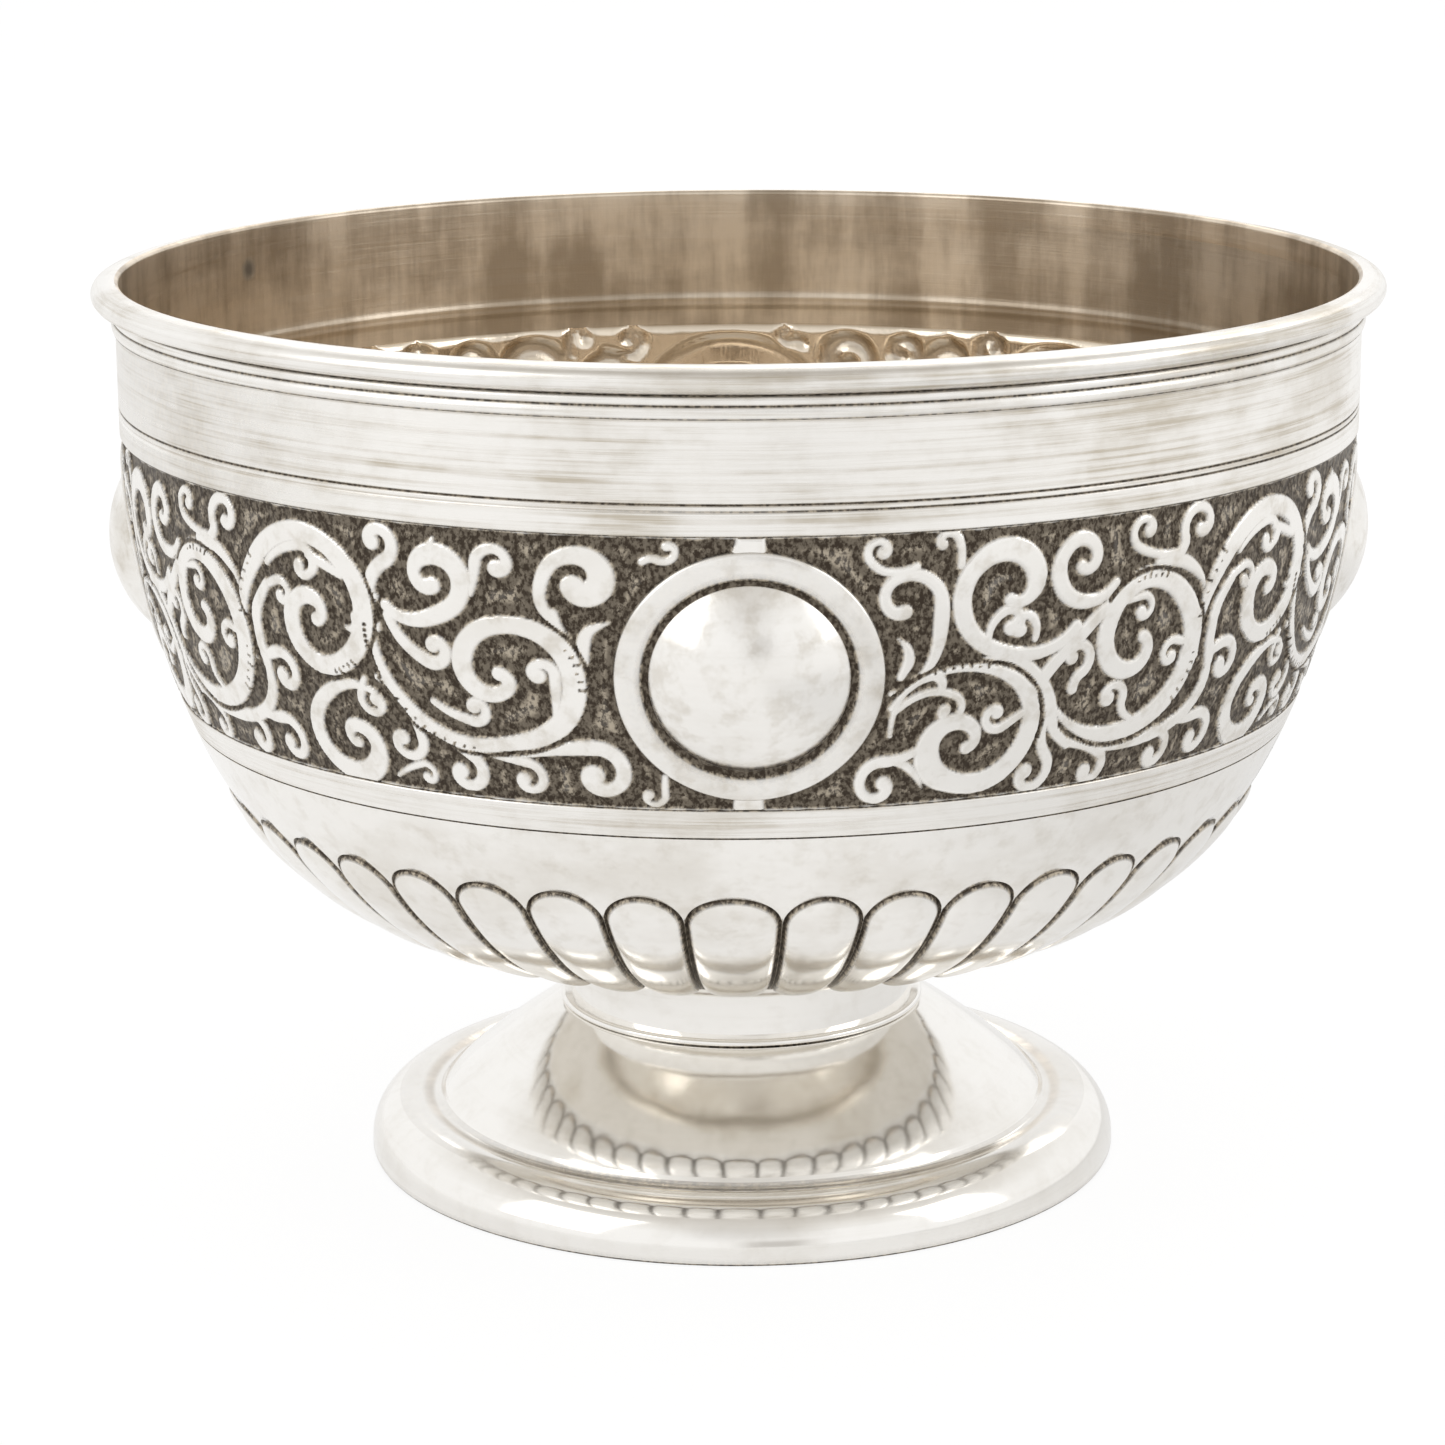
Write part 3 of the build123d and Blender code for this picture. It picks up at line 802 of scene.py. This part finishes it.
LEAVES = [
    # Stems that join the volutes, and small leaves: points, half widths
    ([(26.2, 120.5), (27.6, 124.8), (30.2, 130), (32.6, 134.5), (36, 139.6),
          (40, 140.2)], [1.6, 1.7, 1.7, 1.5, 1.3, 0.8]),
    ([(20.2, 126.6), (23.5, 127.2), (25.9, 123.6), (27.6, 118.5), (28.6, 112.5),
          (30.4, 108.6)], [0.9, 1.3, 1.6, 1.7, 1.4, 1.1]),
    ([(30, 109.4), (33.5, 107.4), (37.2, 106.6), (41, 107.6), (44.2, 110.4),
          (46, 115), (46.2, 120)], [1.1, 1.2, 1.2, 1.5, 1.6, 1.6, 1.3]),
    ([(46.2, 120), (45.8, 126), (46.2, 131), (48, 136)], [1.6, 1.6, 1.6, 1.2]),
    ([(78.2, 124.5), (77.2, 130.5), (76.2, 134.5), (75.9, 137)], [0.5, 1.2, 1.3, 1.2]),
    ([(38, 141.4), (41, 140.6), (43.4, 137), (44, 133.8)], [1.2, 1.6, 1, 0.4]),
    ([(65.6, 146.2), (66.1, 148), (66.3, 149.6)], [1.6, 1, 0.3]),
    ([(78.3, 125.5), (78.1, 130.5), (78.6, 134), (80.2, 135.8)], [0.6, 1.4, 1.2, 0.4]),
    ([(13.6, 125.2), (14.2, 128), (14, 130.6), (13.2, 132.4)], [1, 1.3, 1, 0.4]),
    ([(12.6, 109.6), (14.6, 108), (15.8, 105.4), (16.4, 103.2)], [0.9, 1.1, 0.9, 0.4]),
]
HOOKS = [
    # Curls inside the volutes
    (13.2, 118.5, 18, 118.2, 3, 60, -250, 1, 1.2, 1.5),
    (13, 114, 16.6, 121.8, 3.4, 100, -100, 0.7, 1.5, 1),
    (26, 117.4, 22.6, 116.4, 2.9, -60, -240, 1, 1.4, 1.6),
    (25.6, 130.2, 24.2, 132.6, 2.7, 40, 210, 0.9, 1.3, 1.6),
    (21.2, 130.6, 23.2, 133.4, 3, 120, -220, 0.9, 1.4, 1.7),
    (33.6, 134.6, 36.6, 132.8, 2.8, 100, -230, 0.8, 1.2, 1.6),
    (43.6, 125, 40.8, 123, 2.9, 70, 230, 0.9, 1.3, 1.6),
    (37.4, 111.6, 34.3, 116.8, 3.2, -10, 215, 1, 1.4, 1.9),
    (48.4, 140.2, 52.8, 141, 3.7, 100, -265, 1, 1.5, 1.6),
    (57.2, 140.5, 53.6, 139.4, 3.6, 70, -60, 1.4, 1.3, 0.8),
    (46.9, 134, 49.8, 134.6, 2.7, 110, -240, 0.9, 1.3, 1.5),
    (60.2, 131.6, 57, 131, 3, 20, -70, 1.6, 1.4, 0.6),
    (65, 118.5, 68.8, 118, 2.6, -100, 230, 1, 1.5, 1.7),
    (75.6, 117, 74.6, 125.6, 2.6, 0, 210, 0.8, 1.5, 1.9),
    # Curls along the top
    (14.6, 145.4, 11.6, 148.4, 2.5, -150, -250, 1, 1.2, 1.5),
    (18.4, 145, 17, 149, 2.6, 20, 160, 1, 1.2, 1.3),
    (39.6, 142.6, 36.4, 147.6, 3.4, -120, -260, 1.1, 1.3, 1.6),
    (39.5, 141.6, 42.8, 146.8, 4.4, 200, -290, 1.5, 1.6, 1.7),
    (60, 138, 60.9, 147.4, 3.8, -60, 250, 1.5, 1.8, 1.9),
    (69.4, 139.6, 71.6, 145.2, 3.6, 175, -250, 0.8, 1.5, 1.9),
    (82.8, 147, 84.6, 149.4, 2.4, -120, 190, 0.9, 1.1, 1.1),
    # Curls between the volutes
    (30, 119.6, 29.8, 125.8, 3.7, -60, 250, 1.4, 1.6, 1.7),
    (46, 121.4, 48.4, 118.8, 4.3, 110, -260, 1.3, 1.7, 2),
    (61.6, 134, 65.7, 128.8, 3, -115, 240, 1.3, 1.8, 1.7),
    (58.3, 121, 59, 116.8, 3, 165, 250, 0.9, 1.3, 1.7),
    (59.8, 121.8, 61.4, 109.9, 3.9, 5, -235, 1.1, 1.5, 1.8),
    # Curls along the bottom
    (15.8, 111.2, 12.4, 104.4, 4.6, 90, 290, 1, 1.6, 1.8),
    (27.6, 114, 26.8, 104, 4.4, 40, -250, 1.2, 1.6, 1.9),
    (30.2, 108.8, 33.4, 102.8, 3.8, 60, -215, 0.9, 1.5, 1.9),
    (36, 106.6, 41.2, 103.6, 4.4, 100, -250, 0.9, 1.6, 2),
    (43, 109.6, 46.8, 104.8, 4.7, 100, -270, 1.2, 1.7, 1.9),
    (59.8, 102.4, 63, 103.3, 2.4, 110, -220, 0.7, 1.1, 1.4),
    (63, 113.6, 66.8, 105, 4.1, 50, -250, 1, 1.7, 1.9),
    (67.6, 110, 72.6, 104.8, 3.4, 80, -270, 0.9, 1.4, 1.6),
    (72.3, 109.6, 78.6, 106.6, 5.4, 95, -270, 1, 2, 2.4),
    (84, 106.8, 82.8, 103, 2.4, 0, -200, 0.8, 1, 1.2),
]
scrolls = MAIN + [leaf(*row) for row in LEAVES] + [hook(*row) for row in HOOKS]
punches = np.array(punches)
print(len(scrolls), "strokes,", len(outlines), "chased outlines,", len(punches), "punch marks")

# %% [markdown]
# ## Relief of the frieze
#
# Chasing pushes the ground down round the scrolls, so they stand up by about half a
# millimetre. For every point of the wall the distance to the nearest edge of a
# scroll is worked out. That one number gives the step down to the ground, the soft
# crown of the scroll and the dark in the corners, which is part dirt and part painted
# shade. The back of the sheet follows the front, a little softer, which is why the
# pattern also shows inside the bowl.

# %% Distance to the edge of the scrolls
REACH = 3.0


def edge_distance(x, z, strokes, reach=REACH):
    """Millimetres from points to the nearest edge of the strokes, negative inside."""
    nearest = np.full(x.shape, reach)
    for rows in strokes:
        spare = reach + rows[:, 2].max()
        near = ((x > rows[:, 0].min() - spare) & (x < rows[:, 0].max() + spare)
                & (z > rows[:, 1].min() - spare) & (z < rows[:, 1].max() + spare))
        where = np.flatnonzero(near)
        for part in np.array_split(where, len(where) // 4000 + 1):
            if len(part):
                gap = np.hypot(x[part, None] - rows[None, :, 0],
                               z[part, None] - rows[None, :, 1]) - rows[None, :, 2]
                nearest[part] = np.minimum(nearest[part], gap.min(axis=1))
    return nearest


def drift(x, z, wave, seed):
    """A slow unevenness between -1 and 1."""
    return (np.sin(x / wave + seed) * np.cos(z / wave * 1.3 + 2 * seed)
            + np.sin((x + z) / wave * 0.63 + 3 * seed) * np.cos((x - z) / wave * 0.9 + seed)) / 2


print("distance at the start of the first stroke:",
      edge_distance(scrolls[0][:1, 0], scrolls[0][:1, 1], scrolls[:1]).round(2))

# %% Where the bosses are
BOSS_PLACE, BOSS_HEIGHT = 0.8, 125.3
RING_OUT = 23.7
DISC, PROUD = 17.7, 6.2


def dome_height(gap):
    """Height of the boss's dome over the flat plane through its edge's foot."""
    fall = DISC ** 2 / (2 * BOWL_RADIUS)
    ball = (DISC ** 2 + (PROUD + fall) ** 2) / (2 * (PROUD + fall))
    return PROUD - ball + np.sqrt(np.maximum(ball ** 2 - gap ** 2, 0))


def wall_fall(across, up):
    """How far the wall falls away behind a flat plane laid on it."""
    return across ** 2 / (2 * BOWL_RADIUS) + up ** 2 / (2 * BOWL_MOVES[1][0])


def to_boss(place, z):
    """Distance round the wall, and in all, to the nearest boss, and its dome's height."""
    across = np.minimum(place - BOSS_PLACE, BOSS_PLACE + 90 - place) * DEGREE
    gap = np.hypot(across, (z - BOSS_HEIGHT) / 0.983)
    return across, gap, dome_height(gap) + wall_fall(across, z - BOSS_HEIGHT)


def from_borders(z):
    return np.minimum(FRIEZE_TOP - z, z - FRIEZE_LOW)


def plain_edge(x, z, gap, seed):
    """Distance to the plain borders and to the bosses' rings, a little ragged."""
    ragged = 0.28 * (1 + drift(x, z, 1.1, seed))
    return np.minimum(from_borders(z) - ragged, gap - RING_OUT)


print("the domes stand", round(float(dome_height(0.0)), 1), "mm proud")

# %% Front and back of the frieze
GROUND, CROWN, CUT = 0.62, 0.55, 0.45


def front_relief(x, z, place, seed):
    """Height off the wall and tarnish of the front."""
    scroll = edge_distance(x, z, scrolls)
    across, gap, dome = to_boss(place, z)
    bridge = np.maximum(across - 3.0 - 0.8 * drift(x, z, 1.6, seed),
                        19.5 - np.abs(z - BOSS_HEIGHT))
    flat = np.minimum(plain_edge(x, z, gap, seed), bridge)
    edge = np.minimum(scroll, flat)
    sunk = step_up(edge, -0.30, 0.15)
    crown = (1 - np.exp(-np.maximum(-scroll - 0.2, 0) / 0.85)) * (flat > 0)
    line = np.maximum(1 - step_up(edge_distance(x, z, outlines), -0.16, 0.26),
                      0.9 * (1 - step_up(edge_distance(x, z, [punches], 1.0), -0.1, 0.25)))
    hammer = drift(x, z, 1.7, seed) + 0.6 * drift(x, z, 0.8, seed + 4)
    high = (-GROUND * step_up(edge, -0.80, 0.22)
            + (CROWN * crown - CUT * line + 0.06 * hammer) * (1 - sunk)
            + 0.10 * drift(x, z, 0.9, seed + 2) * sunk)
    # The border's chased line, and the sheet under the boss and its ring
    high = np.minimum(high, -0.25 * (1 - step_up(from_borders(z), 0.0, 0.38)))
    under = np.where(gap < DISC - 0.2, dome - 0.62, -0.50)
    high = np.where(gap < RING_OUT - 0.5, under, high)
    grime_and_shade = 0.5 + 0.5 * drift(x, z, 5.0, seed + 1)
    open_ground = step_up(edge, 0.9, 3.0)
    # The ground is oxidised, and the chased lines and punch marks are blackened; the scrolls
    # darken towards their edges, part tarnish and part painted shade.
    dark = (sunk * (1.0 - 0.33 * open_ground * (0.6 + 0.4 * grime_and_shade)) + line
            + (0.42 + 0.22 * grime_and_shade) * step_up(edge, -1.05, 0.0) ** 1.4 * (1 - sunk))
    return high, np.clip(dark, 0, 1)


def back_relief(x, z, place, seed):
    """The same for the back, which follows the front a little softer."""
    scroll = edge_distance(x, z, scrolls)
    _, gap, dome = to_boss(place, z)
    pressed = np.minimum(scroll, plain_edge(x, z, gap, seed))
    soft = (-0.85 * step_up(pressed, -0.9, 1.1)
            + 0.60 * (1 - np.exp(-np.maximum(-scroll, 0) / 1.2)))
    boss_back = np.where(gap < DISC - 0.6, dome,
                         0.28 * (1 - step_up(gap, RING_OUT - 2.0, RING_OUT - 0.5)))
    beyond = step_up(gap, RING_OUT - 0.8, RING_OUT + 0.8)
    soft = np.where(gap < RING_OUT + 0.8, boss_back + soft * beyond, soft)
    # Painted shade darkens the hollow behind each boss's dome and, more lightly, the hollows
    # behind the scrolls.
    hollow = np.maximum(0.58 * (1 - step_up(gap, DISC - 4.0, DISC + 0.5)),
                        0.34 * (1 - step_up(scroll, -0.7, 0.6)) * (gap > RING_OUT))
    rim = step_up(from_borders(z), 0.0, 1.2)
    return soft * rim - SHEET, hollow * rim


def snapped(x, z, cell):
    """Grid points nudged on to the nearest scroll edge, which keeps that edge clean."""
    d = edge_distance(x, z, scrolls)
    near = np.abs(d) < 0.55 * cell
    step = 0.02
    dx = (edge_distance(x[near] + step, z[near], scrolls) - d[near]) / step
    dz = (edge_distance(x[near], z[near] + step, scrolls) - d[near]) / step
    x, z = x.copy(), z.copy()
    x[near] -= d[near] * dx
    z[near] -= d[near] * dz
    return x, z


print("ground", GROUND, "mm under the plain wall, crowns up to", CROWN, "mm over it")

# %% [markdown]
# ## Four panels of the frieze
#
# Each quarter is a fine grid for the front and a coarser one for the back, laid on
# the wall and joined round their edges into one closed sheet. The ends of the
# panels lie under the bosses, where no seam shows. No two quarters were chased
# quite alike, so each one slides its scrolls a little.


# %% Lay a grid on the wall
def place_on_wall(verts, place, height, out):
    """Moves vertices to a place in degrees, a height, and a distance off the wall."""
    radius, lean = wall_by_height(height)
    radius = radius + out * np.cos(lean)
    height = height - out * np.sin(lean)
    angle = np.radians(place)
    spots = np.stack([radius * np.sin(angle), -radius * np.cos(angle), height], 1)
    for vert, spot in zip(verts, spots):
        vert.co = spot


def frieze_side(bm, turn, slide, seed, cell, front):
    """Adds the front or the back of one quarter; returns the edges round it."""
    master = np.linspace(BOSS_PLACE, BOSS_PLACE + 90, 721)
    shown = master - np.interp(master, *zip(*slide))
    tall = FRIEZE_TOP - FRIEZE_LOW
    verts, across, up = flat_grid(bm, round(90 * DEGREE / cell), round(tall / cell))
    place, height = BOSS_PLACE + 90 * across, FRIEZE_LOW + tall * up
    design = np.interp(place, shown, master)
    if front:
        inner = (across > 1e-4) & (across < 1 - 1e-4) & (up > 1e-4) & (up < 1 - 1e-4)
        x, z = snapped(design[inner] * DEGREE, height[inner], cell)
        place[inner] += x / DEGREE - design[inner]
        design[inner], height[inner] = x / DEGREE, z
    relief = front_relief if front else back_relief
    out, dark = relief(design * DEGREE, height, place, seed)
    place_on_wall(verts, place + turn, height, out)
    tarnish = bm.verts.layers.float["tarnish"]
    for vert, value in zip(verts, dark):
        vert[tarnish] = value
    faces = {face for vert in verts for face in vert.link_faces}
    middle = max(faces, key=lambda face: face.calc_area())
    middle.normal_update()
    if (looks_out(middle) > 0) != front:
        bmesh.ops.reverse_faces(bm, faces=list(faces))
    return [edge for edge in {edge for face in faces for edge in face.edges}
            if len(edge.link_faces) == 1]


def frieze_panel(name, turn, slide, seed, cell=0.36, back_cell=0.85):
    """One quarter; turn is where it starts, slide the drift of its scrolls in degrees."""
    bm, _ = new_mesh()
    edges = frieze_side(bm, turn, slide, seed, cell, True)
    edges += frieze_side(bm, turn, slide, seed, back_cell, False)
    bmesh.ops.bridge_loops(bm, edges=edges)
    return dress(bm, name, CHASED, sharp=75)


print("panel tools ready")

# %% The four panels
EVEN = [(0, 0.0), (91, 0.0)]
LEFT = [(0, 0.0), (10, 0.0), (20, 1.5), (36, 3.0), (56, 3.0), (72, 2.0), (80, 1.0), (90.8, 0.0)]
BACK = [(0, 0.0), (15, 0.0), (30, -0.8), (50, -1.2), (70, -0.6), (90.8, 0.0)]
FAR_CELL = 0.36
frieze_panel("frieze_front_right", 0, EVEN, 1.3)
frieze_panel("frieze_front_left", -90, LEFT, 2.9)
frieze_panel("frieze_back_right", 90, BACK, 4.1, FAR_CELL)
frieze_panel("frieze_back_left", 180, EVEN, 5.7, FAR_CELL)

# %% [markdown]
# ## Bosses
#
# Each boss is a smooth dome raised from the back, set in a flat hammered ring. Its
# outline is turned about the boss's own axis, then bent so that its ring lies on the
# curve of the wall. The ring's rim dips under the ground, so no edge is left open.

# %% Turn a boss and lay it on the wall
DOME_ROWS = 22
BOSS_SHEET = 0.45
boss_rows = [(DISC * sin(math.pi / 2 * k / DOME_ROWS), 0.0,
              (0.0, 0.10, 0.55, 1.0)[max(0, k - DOME_ROWS + 3)]) for k in range(DOME_ROWS + 1)]
# The groove round the dome, the ring, its rim and its underside
boss_rows += [(17.95, -0.16, 1.0), (18.25, -0.30, 1.0), (18.6, -0.12, 1.0), (18.95, 0.26, 0.8),
              (19.4, 0.46, 0.35), (20.4, 0.55, 0.18), (22.2, 0.52, 0.17), (23.2, 0.40, 0.15),
              (23.6, 0.22, 0.25), (23.8, -0.2, 0.7), (23.9, -0.8, 1.0), (23.2, -0.82, 1.0),
              (22.8, 0.1, 0.0), (19.4, 0.1, 0.0), (18.2, -0.45, 0.0)]
boss_rows += [(radius, -0.5, 0.0) for radius in (17.0, 15, 13, 11, 8.5, 6, 3, 0.0)]


def boss(name, turn):
    bm = spun(boss_rows, steps=120, open_ends=True)
    for vert in bm.verts:
        x, y, z = vert.co
        gap = math.hypot(x, y)
        if gap < DISC + 0.1:
            vert.co.z = float(dome_height(gap)) - (BOSS_SHEET if z < -0.4 else 0.0)
        else:
            hammer = 0.05 * float(drift(x, y, 1.5, turn + 0.3))
            vert.co.z += (hammer if 19.1 < gap < 23.3 and z > 0.3 else 0.0) - wall_fall(x, y)
    bmesh.ops.recalc_face_normals(bm, faces=bm.faces)
    radius, lean = (float(v) for v in wall_by_height(BOSS_HEIGHT))
    stand = (Matrix.Rotation(radians(turn + BOSS_PLACE), 4, "Z")
             @ Matrix.Translation((0, -radius, BOSS_HEIGHT))
             @ Matrix.Rotation(radians(90) + lean, 4, "X"))
    bmesh.ops.transform(bm, matrix=stand, verts=bm.verts)
    return dress(bm, name, HAMMERED, sharp=60)


for word, turn in (("front", 0), ("right", 90), ("back", 180), ("left", 270)):
    boss("boss_" + word, turn)

# %% [markdown]
# ## Lobes
#
# Forty two lobes run round the bottom. Seen square on, one lobe has a round top, a
# round lower end and straight sides that draw together, with a chased line all
# round it. Its mesh is a set of rings, from the lobe's middle line out to its
# outline, over the chased line and on to the strip it shares with its neighbours.
# A plain grid gives those rings: one way runs round the lobe, the other outwards.

# %% Plan of one lobe
LOBES, LOBE_RISE, STRIP = 42, 1.4, 0.65
BOTTOM_ARC = BOWL_MOVES[-1][0]


def run_at_angle(angle):
    """Distance along the wall to a place on the arc of its bottom, in degrees."""
    return run_at_height(BOWL_BOTTOM + BOTTOM_ARC * (1 - sin(radians(angle))))


lobe_top, lobe_low = run_at_angle(37.2), run_at_angle(69.0)
first, last = run_at_height(LOBES_TOP), lobe_low + 7.1


def half_room(run):
    """Half the room that one lobe has round the wall."""
    return float(wall_by_length(run)[0]) * math.pi / LOBES


def lobe_rays(sides=20, caps=22):
    """Middle point, direction and outline distance for each ray round the lobe."""
    rays = []
    for start, end, begin in ((lobe_low, lobe_top, 0.0), (lobe_top, lobe_low, math.pi)):
        for k in range(sides):
            run = start + (end - start) * k / sides
            rays.append((run, (cos(begin), 0), half_room(run) - STRIP))
        for k in range(caps):
            a = begin + math.pi * k / caps
            rays.append((end, (cos(a), -sin(a)), half_room(end) - STRIP))
    return rays


def to_border(run, across, along, size):
    """Distance along a ray to the middle of the strip, or to the piece's end."""
    end = math.inf
    if abs(along) > 1e-9:
        end = ((last if along > 0 else first) - run) / along
    reach = size
    for _ in range(12):
        reach = min(half_room(run + along * reach) / max(abs(across), 1e-9), 4 * size + 40)
    return min(end, reach)


print("lobes from", round(lobe_top, 1), "to", round(lobe_low, 1), "mm down the wall")

# %% Rings of one lobe
IN_RINGS, OUT_RINGS = 11, 5
LINE_RINGS = [(0.12, -0.22, 1.0), (0.28, -0.38, 1.0), (0.46, -0.28, 1.0), (0.58, -0.10, 0.9),
              (0.76, 0.0, 0.0)]
LINE_END = LINE_RINGS[-1][0]


def ring_row(run, direction, size):
    """Rows (across, run, height, tarnish) from the lobe's middle line outwards."""
    across, along = direction
    strip = to_border(run, across, along, size) - size
    row = []
    for k in range(IN_RINGS + 1):
        share = 1 - (1 - k / IN_RINGS) ** 1.7
        high = LOBE_RISE * max(1 - share ** 2.5, 0) ** 0.62
        row.append((size * share, high, 0.8 * step_up(share, 0.88, 1.0)))
    for step, high, dark in LINE_RINGS:
        step = min(step, 0.96 * strip)
        row.append((size + step, high, dark or (0.7 if step < 0.7 else 0.0)))
    near = min(LINE_END, 0.96 * strip)
    for k in range(1, OUT_RINGS + 1):
        away = size + near + (strip - near) * k / OUT_RINGS
        row.append((away, 0.0, 0.7 if strip < 0.8 else 0.0))
    # Towards its lower end the lobe is a little darker: part tarnish, part painted shade under the
    # bowl.
    return [(across * away, run + along * away, high,
             float(max(dark, 0.30 * step_up(run + along * away, last - 22, last - 6))))
            for away, high, dark in row]


lobe_rows = [ring_row(*ray) for ray in lobe_rays()]
# The last ring meets the neighbours', and its corners are exact.
for row in lobe_rows:
    x, run, high, dark = row[-1]
    if min(abs(run - first), abs(run - last)) > 1e-6:
        row[-1] = (math.copysign(half_room(run), x), run, high, dark)
for end in (first, last):
    for side in (-1, 1):
        corner = (side * half_room(end), end)
        near = min((row for row in lobe_rows if row[-1][0] * side > 0),
                   key=lambda row: math.dist(row[-1][:2], corner))
        near[-1] = (*corner, 0.0, 0.0)
print(len(lobe_rows), "rays of", len(lobe_rows[0]), "rings")


# %% Build three runs of fourteen lobes
def wander(angle):
    """The chaser's drift: lobes left of the front one sit about 1.6 degrees further on."""
    left = step_up(-angle, -4.2, 4.2) * (1 - step_up(-angle, 60.0, 175.0))
    return radians(-1.6 * float(left))


DOWN = 40


def lobe_run(name, start, count):
    """A run of lobes round the bowl, counted from the front one."""
    around, rings = len(lobe_rows), len(lobe_rows[0])
    bm, tarnish = new_mesh()
    for vert, across, out in zip(*flat_grid(bm, around, rings - 1)):
        x, run, high, dark = lobe_rows[round(across * around) % around][round(out * (rings - 1))]
        angle = x / float(wall_by_length(run)[0])
        radius, height = off_wall(run, high)
        vert.co = (radius * sin(angle), -radius * cos(angle), height)
        vert[tarnish] = dark
    bmesh.ops.remove_doubles(bm, verts=bm.verts, dist=1e-3)
    step = math.tau / LOBES
    bmesh.ops.rotate(bm, verts=bm.verts, cent=(0, 0, 0),
                     matrix=Matrix.Rotation(start * step, 3, "Z"))
    bmesh.ops.spin(bm, geom=bm.verts[:] + bm.edges[:] + bm.faces[:], cent=(0, 0, 0),
                   axis=(0, 0, 1), angle=step * (count - 1), steps=count - 1,
                   use_duplicate=True)
    bmesh.ops.remove_doubles(bm, verts=bm.verts, dist=0.02)
    for vert in bm.verts:
        vert.co.rotate(Matrix.Rotation(wander(turned(vert)), 3, "Z"))
    bmesh.ops.recalc_face_normals(bm, faces=bm.faces)
    bm.normal_update()
    if looks_out(max(bm.faces, key=lambda face: face.calc_area()), DOWN) < 0:
        bmesh.ops.reverse_faces(bm, faces=bm.faces)
    bmesh.ops.solidify(bm, geom=bm.faces[:], thickness=SHEET)
    bm.normal_update()
    inner = (face for face in bm.faces if looks_out(face, DOWN) < -0.3)
    for vert in {vert for face in inner for vert in face.verts}:
        vert[tarnish] *= 0.3
    return dress(bm, name, LOBED, sharp=50)


for index in range(3):
    lobe_run(f"lobes_{index + 1}", 14 * index, 14)

# %% Plain bottom of the bowl
runs = np.linspace(last, wall_length[-1], 24)
bottom_out = [off_wall(run, 0.0) for run in runs] + [(0.0, BOWL_BOTTOM)]
bottom_in = [off_wall(run, -SHEET) for run in runs]
dress(spun([(0.0, BOWL_BOTTOM + SHEET)] + bottom_in[::-1] + bottom_out, open_ends=True),
      "bowl_bottom", DULL_AND_SHADED)

# %% [markdown]
# ## Solder seams
#
# The seams are thin fillets from the CAD model. Their shape is right, so they stay
# and only get the duller look of solder.

# %% Finish the seams
for node in ("rim_solder", "neck_solder", "bowl_solder", "foot_wire_solder"):
    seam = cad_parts[node]
    seam.data.materials.clear()
    seam.data.materials.append(SOLDER)
